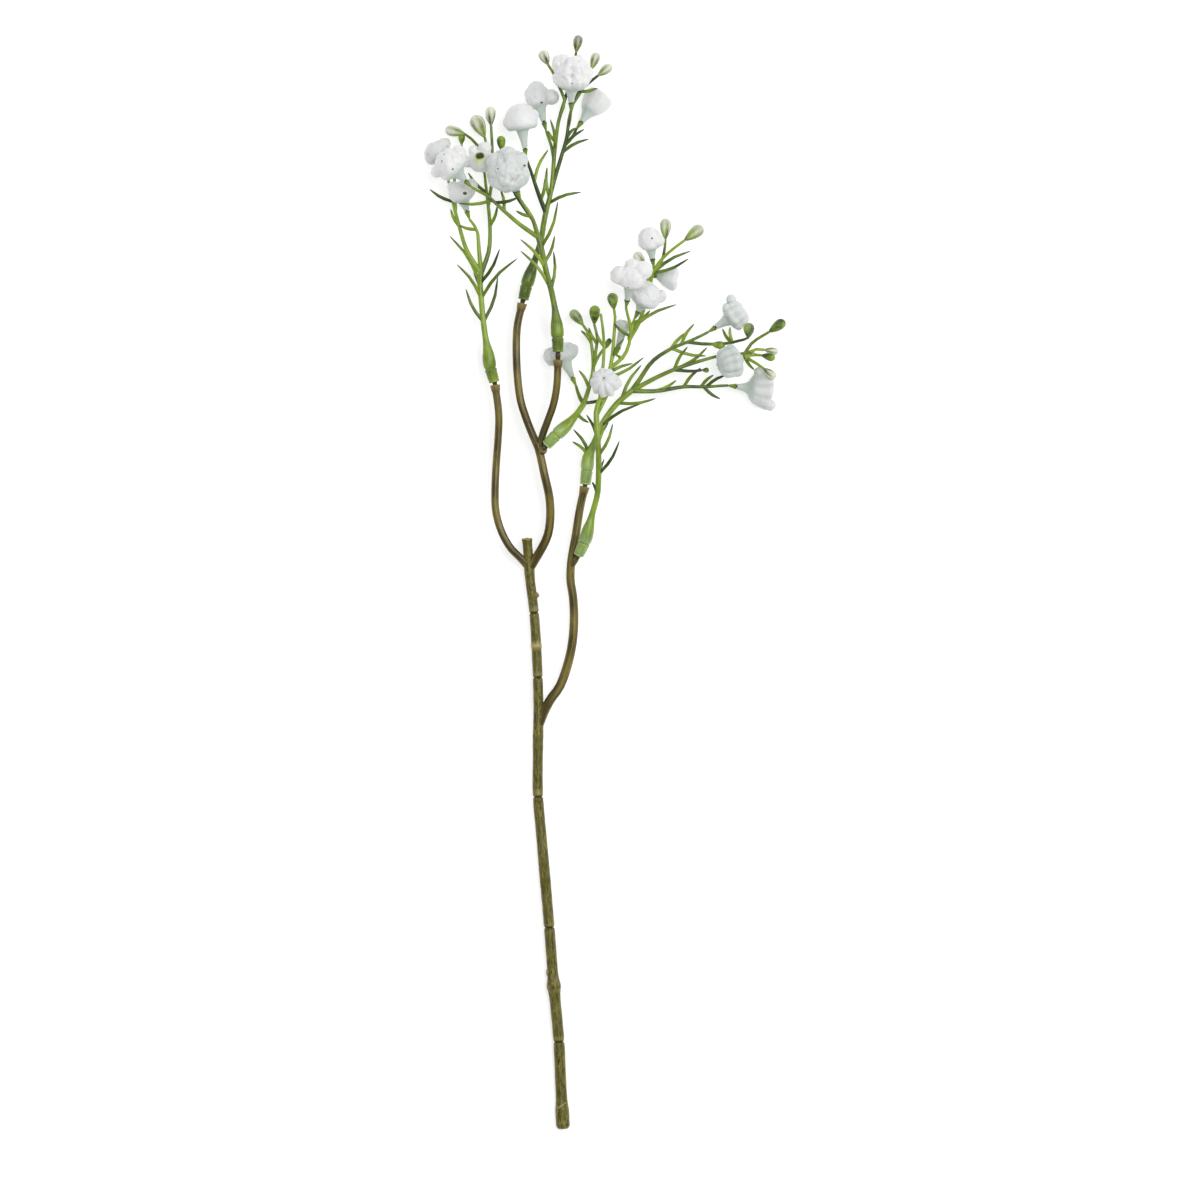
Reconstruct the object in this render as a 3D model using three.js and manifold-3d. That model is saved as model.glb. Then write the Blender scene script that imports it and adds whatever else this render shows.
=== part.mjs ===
// A moulded gypsophila stem, lying on a table.
// Millimetres. x runs across the lying stem, y along it towards the blooms, z up from the table.
import * as THREE from "three";
import { mergeVertices } from "three/addons/utils/BufferGeometryUtils.js";
import Module from "manifold-3d";

const wasm = await Module();
wasm.setup();

// Driving dimensions
const CLEARANCE = 0.3; // between a wire or pip and the bore round it
const MAIN_RADIUS = 2.45;
const CUP_RADIUS = 2.3;
const WIRE_RADIUS = 0.65;
const ARM_STEP = 12; // length of one facet along an arm
const KNOB_RADIUS = 1.9;
const PEG_RADIUS = 0.7;
const SOCKET_RADIUS = 2.95;
const SOCKET_BORE_RADIUS = 1.35;
const SOCKET_BORE_DEPTH = 10.5;
const STALK_RADIUS = 1.35;
const BRANCH_RADIUS = 1.15;
const TWIG_RADIUS = 0.85;
const PEDICEL_RADIUS = 0.6;
const TWIG_STEP = 12; // length of one facet along a twig
const LEAF_WIDTH = 1.35;
const LEAF_TIP_WIDTH = 0.7;
const CALYX_LENGTH = 3.6;
const CALYX_RADIUS = 1.6;
const PIP_LENGTH = 2.4;
const PIP_RADIUS = 0.6;
const PIP_BORE_RADIUS = 1.05;
const BLOOM_BASE_RADIUS = 1.5;
const BLOOM_THROAT_RADIUS = 2.8;
const BLOOM_RIBS = 6;
const BLOOM_LOBES = 5;

const UP = new THREE.Vector3(0, 0, 1);

// The routes below are laid out from the fork of the stem's axis lines; the middle of the whole outline
// lies this far from there, and is moved to x = 0, y = 0 at the end.
const OUTLINE_MIDDLE_X = 1.08;
const OUTLINE_MIDDLE_Y = 0.09;

// Colours and finishes
const BARK = { color: 0x4b4220, roughness: 0.6, metalness: 0 };
const WIRE = { color: 0x37322c, roughness: 0.45, metalness: 0.8 };
const LEAF_GREEN = { color: 0x5f9034, roughness: 0.45, metalness: 0 };
const PETAL_WHITE = { color: 0xe4e6ea, roughness: 0.5, metalness: 0 };

// A closed geometry as a solid that can be joined and cut.
function solid(geometry) {
  geometry.deleteAttribute("normal");
  geometry.deleteAttribute("uv");
  const merged = mergeVertices(geometry, 1e-4);
  return new wasm.Manifold(
    new wasm.Mesh({
      numProp: 3,
      vertProperties: merged.attributes.position.array,
      triVerts: new Uint32Array(merged.index.array),
    }),
  );
}

function joined(solids) {
  return solids.reduce((whole, piece) => whole.add(piece));
}

function mesh(name, whole, finish) {
  const { vertProperties, triVerts } = whole.getMesh();
  const geometry = new THREE.BufferGeometry();
  geometry.setAttribute("position", new THREE.BufferAttribute(vertProperties, 3));
  geometry.setIndex(new THREE.BufferAttribute(triVerts, 1));
  geometry.computeVertexNormals();
  const made = new THREE.Mesh(geometry, new THREE.MeshStandardMaterial(finish));
  made.name = name;
  return made;
}

const vector = (place) => new THREE.Vector3(...place);

function curveThrough(route) {
  return new THREE.CatmullRomCurve3(route.map(vector), false, "centripetal");
}

// A round limb along a route: a cylinder whose rows are moved to the stations,
// each [distance along, radius]. A negative distance counts back from the end.
function limb(route, stations, sides, thickness = 1) {
  const curve = curveThrough(route);
  const length = curve.getLength();
  const rows = stations.length - 1;
  const shape = new THREE.CylinderGeometry(1, 1, 1, sides, rows);
  const corners = shape.attributes.position;
  for (let i = 0; i < corners.count; i++) {
    const [along, radius] = stations[Math.round((0.5 + corners.getY(i)) * rows)];
    const share = THREE.MathUtils.clamp((along < 0 ? length + along : along) / length, 0, 1);
    const centre = curve.getPointAt(share);
    const tangent = curve.getTangentAt(share);
    const side = new THREE.Vector3().crossVectors(tangent, UP).normalize();
    const top = new THREE.Vector3().crossVectors(side, tangent);
    centre.addScaledVector(side, corners.getX(i) * radius);
    centre.addScaledVector(top, corners.getZ(i) * radius * thickness);
    corners.setXYZ(i, centre.x, centre.y, centre.z);
  }
  return solid(shape);
}

// Stations at even steps from the first radius to the last, for a plain tapering limb.
function taper(route, first, last, step) {
  const length = curveThrough(route).getLength();
  const rows = Math.max(2, Math.round(length / step));
  return Array.from({ length: rows + 1 }, (_, row) => [
    (length * row) / rows,
    THREE.MathUtils.lerp(first, last, row / rows),
  ]);
}

// A block that reaches down from the table, to cut the flat that a piece rests on.
function belowTable() {
  return solid(new THREE.BoxGeometry(600, 600, 20).translate(0, 0, -10));
}

// Stem: routes of the main stem and its arms, then its rings, knots and cups
const MAIN_ROUTE = [
  [-18.2, -249.5, 2.6], [-19.2, -230.5, 3.1], [-20.2, -209, 3.8], [-22.6, -182.5, 4.5], [-24.6, -156.5, 5.3],
  [-28, -117, 6.3], [-29.7, -96.5, 6.9], [-29.7, -76.5, 7.4], [-29.5, -53, 8], [-30.5, -27.5, 8.7],
  [-31.6, -12, 9.2], [-33.2, 1, 9.7], [-33.8, 9, 10], [-34.7, 20.5, 10.6],
];
const LEFT_ARM = [
  [-33.7, 7, 10], [-38, 11.8, 11], [-42, 15.8, 12], [-46.3, 23.5, 12.5], [-48.9, 33, 13], [-49.2, 42.5, 13],
  [-48.7, 54, 13], [-47.8, 66, 13.5], [-47.5, 77, 14], [-49.2, 90.3, 14],
];
const MIDDLE_ARM = [
  [-33.5, 6.5, 10], [-30, 12.3, 11], [-27.3, 17, 12], [-25, 22.5, 13], [-24, 31, 14], [-24.5, 39.5, 15],
  [-26.5, 48.5, 16], [-28.5, 58, 16.5], [-30, 63.5, 16.5],
];
const ARM_TO_B = [
  [-29.2, 61, 16.5], [-32.5, 68.5, 16], [-35, 75, 15.5], [-37.5, 83, 15], [-39, 94.5, 14.5],
  [-39.5, 108, 14], [-39, 117.5, 14], [-36.8, 127.5, 14],
];
const ARM_TO_C = [
  [-29, 60.5, 16.5], [-27.5, 67.5, 17], [-25.5, 73, 17.5], [-22.5, 81.5, 18.5], [-21, 90, 19.5],
  [-20.5, 101.6, 20.1],
];
const SIDE_ARM = [
  [-29.4, -65, 7.7], [-26.8, -58.5, 8.2], [-23.9, -53, 9], [-19.9, -47.5, 9.5], [-16.5, -38.5, 10],
  [-14.1, -28, 10.5], [-13.2, -16.5, 11], [-13.7, -6, 11.5], [-14.8, 1, 12], [-14.5, 9.5, 12.5],
  [-12.5, 21.5, 13], [-10.5, 34, 13.5], [-8.3, 43.9, 14],
];
// the arms, with the radii at the foot and at the far end of each
const ARMS = [
  { route: LEFT_ARM, radii: [1.8, 1.75], wireEnd: [[-49.6, 92.5, 14], [-51.3, 99, 14.4]], cup: true },
  { route: MIDDLE_ARM, radii: [2.1, 1.9], wireEnd: [], cup: false },
  { route: ARM_TO_B, radii: [1.85, 1.8], wireEnd: [[-36.3, 129.5, 14], [-34.9, 135.5, 14]], cup: true },
  { route: ARM_TO_C, radii: [1.75, 1.72], wireEnd: [[-20.5, 106, 20.4], [-20.7, 113, 20.8]], cup: true },
  { route: SIDE_ARM, radii: [2.25, 1.85], wireEnd: [[-8, 46, 14], [-7.3, 52.5, 14]], cup: true },
];
const SIDE_KNOBS = [
  { foot: [-28, 59.5, 16.5], top: [-27, 61, 19.3], pegEnd: [-22.6, 66, 21.1], radius: KNOB_RADIUS },
  { foot: [-14.5, 7.5, 12.5], top: [-12, 11.3, 15.5], pegEnd: [-9.2, 17.3, 17.8], radius: 1.4 },
];
const WIRE_FOOT = [-20.2, -212, 3.7];
const WIRE_TIP = [-34.75, 21.3, 10.63];
const STEM_RINGS = [40, 92.5, 152.5, 207, 236.5]; // distance of each ring notch from the cut end
const RING_DEPTH = 0.35;
const RING_HALF_WIDTH = 1.2;

function mainStations() {
  const endCap = [[0, 2.35], [1.3, 2.95], [8.5, 3.0], [11.5, 2.65]];
  const knot = [[61, 2.5], [64.5, 3.0], [67, 3.05], [69.5, 2.45]];
  const tanRing = [[220, 2.25], [221.5, 2.55], [223, 2.25]];
  const top = [[250, 2.15], [258, 2.3], [262, 2.05], [266.5, 2.0], [270.4, 2.35]];
  const rings = STEM_RINGS.flatMap((along) => {
    const radius = THREE.MathUtils.lerp(MAIN_RADIUS + 0.1, MAIN_RADIUS - 0.2, along / 250);
    return [
      [along - RING_HALF_WIDTH, radius],
      [along, radius - RING_DEPTH],
      [along + RING_HALF_WIDTH, radius],
    ];
  });
  const between = [[26, 2.6], [77, 2.45], [113, 2.42], [133, 2.4], [171, 2.35], [189, 2.3]];
  return [...endCap, ...knot, ...tanRing, ...top, ...rings, ...between].sort((a, b) => a[0] - b[0]);
}

function arm({ route, radii, cup }) {
  const [first, last] = radii;
  const plain = taper(route, first, last, ARM_STEP);
  if (!cup) return limb(route, plain, 7);
  const flare = [[-3.5, last], [-1, CUP_RADIUS], [-0.001, CUP_RADIUS]];
  return limb(route, [...plain.slice(0, -1), ...flare], 7);
}

// The wire inside the stem, or with a larger radius the bore that it lies in. It has its rows
// where the arm round it has them, so that the wall keeps its thickness through the bends.
// The bore runs from end to end of the routes, and the wire stops short of both ends by the inset.
function armature(radius, inset, mainEnd) {
  const rowsFrom = (route, thickness, step) => {
    const stations = taper(route, thickness, thickness, step);
    stations[0][0] += inset;
    stations.at(-1)[0] -= inset + 0.001;
    return stations;
  };
  const spine = [WIRE_FOOT, ...MAIN_ROUTE.slice(3), mainEnd];
  const arms = ARMS.map(({ route, wireEnd }) => {
    const outside = wireEnd.length ? [[-0.001, radius]] : [];
    return limb([...route, ...wireEnd], [...rowsFrom(route, radius, ARM_STEP), ...outside], 5);
  });
  return joined([limb(spine, rowsFrom(spine, radius * 1.2, 15), 6), ...arms]);
}

function sideKnob({ foot, top, pegEnd, radius }) {
  const knob = limb([foot, top], [[0, radius * 0.8], [-0.001, radius]], 8);
  const peg = limb([top, pegEnd], [[0, PEG_RADIUS], [-0.001, PEG_RADIUS]], 6);
  return knob.add(peg);
}

// Small scars on the bark: a bud scar on the left, a broken peg on the right, a ridge near the cut end.
function scars() {
  const scar = new THREE.SphereGeometry(1, 8, 5).scale(1.5, 2.6, 1.5).translate(-24.6, -177.5, 4.9);
  const brokenPeg = limb([[-31.8, -6.4, 9.4], [-29.2, -4.8, 10.2]], [[0, 1.2], [-0.001, 0.85]], 6);
  const ridge = limb(
    [[-21, -240.6, 4.6], [-18.6, -238.4, 5.9], [-16.2, -236.8, 4.8]],
    [[0, 0.5], [3, 0.6], [-0.001, 0.5]],
    6,
  );
  return [solid(scar), brokenPeg, ridge];
}

function stem() {
  const outside = joined([
    limb(MAIN_ROUTE, mainStations(), 9),
    ...ARMS.map(arm),
    ...SIDE_KNOBS.map(sideKnob),
    ...scars(),
  ]);
  const bore = armature(WIRE_RADIUS + CLEARANCE, 0, [-34.8, 22.3, 10.7]);
  return mesh("stem", outside.subtract(bore).subtract(belowTable()), BARK);
}

// Blooms: where the tube starts, the middle of the head, its width, how tall it is as a share of its
// radius, and the balls that its side lobes bulge out to, each with its middle and radius
const BLOOMS = {
  bloom_01: { root: [-72.5, 189, 6.8], head: [-76, 197.3, 5], width: 12.6, tall: 1.6,
    lobes: [[-72.4, 200.4, 6, 2.6]] },
  bloom_02: { root: [-62.4, 182.5, 31], head: [-70, 190.6, 31.5], width: 14.2, tall: 1.75,
    lobes: [[-75.2, 187.2, 31, 2.6], [-65.4, 195.4, 31, 2.9]] },
  bloom_03: { root: [-62, 169.5, 16], head: [-64.8, 178.6, 17], width: 11.6, tall: 1.6,
    lobes: [[-68.4, 180.4, 17, 2.4], [-59.8, 181, 17.5, 2.8]] },
  bloom_04: { root: [-38.9, 177.7, 30.5], head: [-42.9, 187.6, 33], width: 18.8, tall: 2 },
  bloom_05: { root: [-54.6, 189.5, 15], head: [-55.6, 192.9, 22.5], width: 11.4, tall: 1.3,
    lobes: [[-53.8, 198, 22, 2.8], [-58.6, 196.6, 21.5, 2.3], [-61.3, 191.8, 20, 2.7]] },
  bloom_06: { root: [-35.5, 197.7, 21], head: [-37.5, 212.7, 22.5], width: 15, tall: 1.65,
    lobes: [[-43, 209.4, 22, 2.6], [-31.6, 213, 22, 2.4]] },
  bloom_07: { root: [-26.9, 210, 14], head: [-30, 222.4, 13.5], width: 11.6, tall: 1.9,
    lobes: [[-23, 221, 13.6, 3.1]] },
  bloom_08: { root: [-14.5, 218.3, 24.5], head: [-14.1, 232, 28], width: 15.4, tall: 2,
    lobes: [[-18.6, 235.8, 28, 4.2], [-9.6, 231.6, 28.5, 4.4], [-18.4, 228.9, 27.5, 3.9], [-11.6, 235.4, 28, 4]] },
  bloom_09: { root: [-10, 210.2, 9], head: [-3.8, 219.3, 5.7], width: 13.4, tall: 1.75 },
  bloom_10: { root: [22.5, 147.5, 20.5], head: [21, 157, 24], width: 10.4, tall: 2,
    lobes: [[25.2, 155.4, 24.5, 2.6]] },
  bloom_11: { root: [11, 128.5, 28], head: [12.9, 139.4, 35], width: 13, tall: 1.6,
    lobes: [[7.6, 139.4, 35, 4], [17.8, 141.3, 35, 4.2], [13.2, 144, 35.5, 3]] },
  bloom_12: { root: [16, 123.5, 21], head: [19.9, 131.3, 23], width: 13.8, tall: 1.6,
    lobes: [[26.2, 130.4, 23, 2.6]] },
  bloom_13: { root: [24.3, 140, 13.5], head: [30.4, 138.7, 14], width: 10.8, tall: 1.5 },
  bloom_14: { root: [2.2, 88.6, 31], head: [0.6, 91.2, 40], width: 14.4, tall: 1.35,
    lobes: [[6, 90.4, 38, 2.6]] },
  bloom_15: { root: [-13.9, 93.6, 9.5], head: [-19, 105, 7.5], width: 12.4, tall: 1.5,
    lobes: [[-15.4, 105.8, 8, 4], [-23.4, 103.6, 7.5, 3.8]] },
  bloom_16: { root: [51.3, 116.5, 16.5], head: [61, 122.7, 17], width: 15.2, tall: 1.25,
    lobes: [[58.4, 129.2, 17, 2.3]] },
  bloom_17: { root: [64, 102.5, 22], head: [58.3, 100.7, 23], width: 16, tall: 1.4 },
  bloom_18: { root: [60.8, 89.7, 10], head: [72.6, 88.4, 8.1], width: 18.4, tall: 1.25,
    lobes: [[76.4, 81.2, 9, 2.4], [71.4, 96, 9.5, 2.6]] },
  bloom_19: { root: [7, 107.5, 15], head: [9.5, 117, 13], width: 8.2, tall: 1.35 },
};
const RESTING_BLOOMS = ["bloom_01", "bloom_09", "bloom_18"]; // these touch the table

// A head's outline in shares of its radius and height, and how far its ribs and lobes stand out.
const PUFF = [
  { out: 0.82, up: 0.1, rib: 0.02, lobe: 0.05 },
  { out: 1.0, up: 0.4, rib: 0.05, lobe: 0.06 },
  { out: 0.84, up: 0.78, rib: 0.06, lobe: 0.05 },
  { out: 0.4, up: 1.0, rib: 0.09, lobe: 0.04 },
];
const BELL = [
  { out: 0.8, up: 0.3, rib: 0.02, lobe: 0.03 },
  { out: 1.0, up: 0.6, rib: 0.02, lobe: 0.04 },
  { out: 0.86, up: 0.88, rib: 0.04, lobe: 0.04 },
  { out: 0.42, up: 1.0, rib: 0.05, lobe: 0.04 },
];
const FUNNEL = [
  { out: 0.72, up: 0.14, rib: 0.02, lobe: 0.03 },
  { out: 0.87, up: 0.42, rib: 0.03, lobe: 0.05 },
  { out: 1.02, up: 0.8, rib: 0.05, lobe: 0.06 },
  { out: 0.8, up: 0.95, rib: 0.05, lobe: 0.04 },
  { out: 0.4, up: 1.0, rib: 0.05, lobe: 0.04 },
];
const HEADS = { bloom_09: BELL, bloom_13: BELL, bloom_18: FUNNEL, bloom_19: BELL }; // the others are puffs
const DIMPLE_HEIGHT = 0.86;
const HEAD_FOOT_SHARE = 0.55; // share of a head's height that lies on the tube's side of its middle

function bloomAxis({ root, head }) {
  return vector(head).sub(vector(root)).normalize();
}

function bloom(name, turn) {
  const { root, head, width, tall, lobes = [] } = BLOOMS[name];
  const headRadius = (width / 2) * 0.94;
  const headHeight = headRadius * tall;
  const reach = vector(head).distanceTo(vector(root));
  const tube = Math.max(1.5, reach - headHeight * HEAD_FOOT_SHARE);
  const throat = Math.min(BLOOM_THROAT_RADIUS, headRadius * 0.5);
  const rows = HEADS[name] ?? PUFF;
  const outline = [
    new THREE.Vector2(0, 0),
    new THREE.Vector2(BLOOM_BASE_RADIUS, 0),
    new THREE.Vector2(throat, tube),
    ...rows.map(({ out, up }) => new THREE.Vector2(out * headRadius, tube + up * headHeight)),
    new THREE.Vector2(0, tube + DIMPLE_HEIGHT * headHeight),
  ];
  const segments = BLOOM_RIBS * 2;
  const shape = new THREE.LatheGeometry(outline, segments);
  const corners = shape.attributes.position;
  const firstHeadRow = outline.length - 1 - rows.length;
  for (let i = 0; i < corners.count; i++) {
    const row = (i % outline.length) - firstHeadRow;
    if (row < 0 || row >= rows.length) continue;
    const { rib, lobe } = rows[row];
    const angle = (Math.floor(i / outline.length) / segments) * 2 * Math.PI;
    const swell = 1 + rib * Math.cos(BLOOM_RIBS * angle) + lobe * Math.cos(BLOOM_LOBES * angle);
    corners.setX(i, corners.getX(i) * swell);
    corners.setZ(i, corners.getZ(i) * swell);
  }
  const boreLength = (PIP_LENGTH + CLEARANCE) * 2; // half of it lies outside the tube
  const bore = new THREE.CylinderGeometry(PIP_BORE_RADIUS, PIP_BORE_RADIUS, boreLength, 6);
  const upright = solid(shape).subtract(solid(bore));
  const place = new THREE.Matrix4().compose(
    vector(root),
    new THREE.Quaternion()
      .setFromUnitVectors(new THREE.Vector3(0, 1, 0), bloomAxis(BLOOMS[name]))
      .multiply(new THREE.Quaternion().setFromAxisAngle(new THREE.Vector3(0, 1, 0), turn)),
    new THREE.Vector3(1, 1, 1),
  );
  const balls = lobes.map(([x, y, z, radius]) =>
    solid(new THREE.SphereGeometry(radius, 6, 4).translate(x, y, z)),
  );
  const whole = joined([upright.transform(place.elements), ...balls]);
  return mesh(name, RESTING_BLOOMS.includes(name) ? whole.subtract(belowTable()) : whole, PETAL_WHITE);
}

// Sprays: the stalk from the socket's lip to the fork, the twigs with the bloom or bud that each carries,
// and the leaves as [foot, tip], the tip with a height of its own where it has to pass a neighbour
const SPRAY_A = {
  name: "spray_a",
  stalk: [
    [-49.5, 91.6, 14], [-51.5, 98.8, 14.5], [-52.5, 106, 15], [-53.5, 111.5, 15.3], [-54.5, 119, 15.3],
    [-55.5, 129.5, 15], [-56, 136.5, 15], [-55.5, 141.5, 15],
  ],
  twigs: [
    { route: [[-55.5, 141, 15], [-62, 151.5, 15], [-65.5, 162.5, 13], [-68.5, 174, 10]], bloom: "bloom_01" },
    { route: [[-55.5, 141, 15], [-56.5, 151.5, 16], [-57.5, 161, 16]], bloom: "bloom_03" },
    { route: [[-55.5, 141, 15], [-52, 151.5, 15], [-51.5, 162.5, 14], [-52.5, 173.5, 12.5], [-53.5, 182, 11]],
      bloom: "bloom_05" },
    { route: [[-52.3, 172, 12.7], [-50.5, 185, 11], [-50.5, 198, 10.5], [-51, 207.5, 11]], slim: true,
      bud: { tip: [-51.5, 217.5, 12], width: 5.5 } },
    { route: [[-51, 184, 11.2], [-52.5, 195, 9.5], [-54, 203.5, 9.5]], slim: true,
      bud: { tip: [-59, 213.5, 8.5], width: 7.4 } },
    { route: [[-52, 191, 10], [-57.5, 200, 7.8], [-63, 205, 7]], slim: true,
      bud: { tip: [-72, 207.5, 6], width: 5.9 } },
    { route: [[-67.3, 170, 10.9], [-67.5, 187.5, 9.5], [-64.5, 197, 9.5], [-64.5, 200, 9.5]], slim: true,
      bud: { tip: [-64.5, 205, 10], width: 3.6 } },
  ],
  leaves: [
    [[-54.5, 119], [-62.5, 134]], [[-54.5, 119], [-48, 139.5]], [[-55.5, 129.5], [-66.5, 145]],
    [[-55.5, 129.5], [-59, 141.5]], [[-54.5, 130], [-39, 147.5]], [[-56, 136.5], [-70, 158.5]],
    [[-56, 136.5], [-47, 152]], [[-65.5, 162.5], [-69.5, 170.5]], [[-68.5, 174], [-79, 179.5]],
    [[-57.5, 161], [-65.5, 163]], [[-51.5, 162.5], [-48, 172]], [[-52.7, 178], [-61.5, 187, 14.5]],
    [[-50.8, 183.5], [-45.8, 193.5, 15]],
  ],
};
const SPRAY_B = {
  name: "spray_b",
  stalk: [
    [-36.3, 129.2, 14], [-35, 135, 14], [-33.1, 141, 14], [-30.3, 149.5, 14], [-28, 157.5, 14.5], [-27, 164, 15],
    [-26, 169, 15],
  ],
  twigs: [
    { route: [[-26, 168.5, 15], [-29.5, 177.5, 17], [-32.5, 186.5, 19]], bloom: "bloom_06" },
    { route: [[-26, 168.5, 15], [-23.5, 179.5, 15.5], [-22, 197, 16], [-20, 211.5, 17], [-17.5, 219.5, 17.5],
      [-20, 226, 18], [-22.5, 232, 18], [-25, 236, 18]],
      bud: { tip: [-28, 242.5, 18.5], width: 5.5 } },
    { route: [[-22.3, 192.5, 16], [-23.5, 199, 15]], bloom: "bloom_07", slim: true },
    { route: [[-19.4, 213.5, 17.1], [-15, 228, 16], [-13, 235.5, 15.5], [-12.5, 240, 15.5]], slim: true,
      bud: { tip: [-11, 249.7, 15.5], width: 5 } },
    { route: [[-25.8, 170, 15], [-22.5, 182.5, 15.5], [-18, 197.5, 16.5], [-16.5, 203, 17], [-15.5, 211, 17.5],
      [-13.5, 218.5, 16], [-11, 224, 14]] },
    { route: [[-17.4, 199.5, 16.8], [-14.5, 202.5, 14]], bloom: "bloom_09", slim: true },
    { route: [[-15.8, 208, 17.3], [-15, 211.3, 19.5]], bloom: "bloom_08", slim: true },
    { route: [[-13.3, 219, 15.8], [-9, 226, 12.5], [-6, 232.5, 11]], slim: true,
      bud: { tip: [-2.5, 242, 11], width: 5 } },
    { route: [[-11.3, 223.5, 14.1], [-7.5, 227, 14.2], [-4.5, 229.5, 14.5]], slim: true,
      bud: { tip: [4, 236, 15.5], width: 5 } },
  ],
  leaves: [
    [[-25, 173], [-10, 178]], [[-18, 196], [-6.5, 202.5]], [[-17.3, 199], [-8.5, 206.5]],
    [[-31, 183], [-25, 197.5]], [[-22, 197], [-24, 211]], [[-21.5, 201], [-25, 206]],
    [[-28.5, 174.5], [-26.5, 184]], [[-24.5, 176], [-25.5, 189.5]], [[-11, 224], [-2.5, 225.5]],
    [[-16.5, 202.5], [-12.5, 207.5]],
  ],
};
const SPRAY_C = {
  name: "spray_c",
  stalk: [
    [-20.5, 105.2, 20.4], [-20.7, 112.5, 20.8], [-21.2, 119, 21], [-22, 125.5, 21.5], [-23.5, 133, 22.5],
    [-26, 142.5, 24], [-28, 152, 25], [-29.5, 157.5, 25.5],
  ],
  twigs: [
    { route: [[-29.3, 157, 25.5], [-38, 163, 28], [-45, 169, 30], [-53, 176, 31]], bloom: "bloom_02" },
    { route: [[-29.3, 157, 25.5], [-32.5, 166.5, 27.5]], bloom: "bloom_04" },
    { route: [[-32, 165, 27.2], [-40.5, 178, 22], [-45, 189, 20], [-46, 196.5, 20.5]], slim: true,
      bud: { tip: [-46.5, 203.5, 21.5], width: 4.5 } },
  ],
  leaves: [
    [[-23.5, 133], [-37.5, 151]], [[-23.5, 133], [-22.5, 151]], [[-26, 142.5], [-37.5, 156]],
    [[-26.5, 145], [-22, 158]], [[-28, 152], [-20.5, 173]], [[-50.5, 173.5], [-65.5, 172.5]],
    [[-49, 172.5], [-38, 175]], [[-45, 169], [-46.5, 178.5]], [[-32.5, 166.5], [-39.5, 169]],
  ],
};
const SPRAY_D = {
  name: "spray_d",
  stalk: [[-25.8, 62.7, 20.2], [-21.3, 67.3, 21], [-16, 72.3, 20], [-12.3, 76.5, 18.4], [-8.5, 82, 16]],
  twigs: [
    { route: [[-8.8, 81.6, 16], [-11, 85.5, 13.5]], bloom: "bloom_15" },
    { route: [[-8.8, 81.6, 16], [-6.5, 88.5, 15.5], [-4.5, 97, 15], [-5, 107, 14.5], [-6.5, 113.5, 14],
      [-9, 117.5, 13.5]], bud: { tip: [-14.5, 124.5, 12.5], width: 5.5 } },
    { route: [[-4.6, 96.5, 15], [-3, 107.5, 16], [-2.5, 112, 16.2], [-4, 118, 16.2]], slim: true,
      bud: { tip: [-3.5, 126.5, 16.5], width: 5.7 } },
    { route: [[-4.6, 98, 15], [-2, 103.5, 14.6], [1, 107.5, 13.8]], slim: true,
      bud: { tip: [3.5, 111.5, 13.2], width: 3 } },
  ],
  leaves: [
    [[-5, 109.5], [-10, 115]], [[-2.8, 109], [-6.5, 116.5]], [[0.8, 107], [3.5, 110.5]],
    [[-8.5, 82], [2, 85]], [[-12, 77.5], [-6.5, 73]], [[-6.5, 88.5], [-11, 97]],
  ],
};
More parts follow.
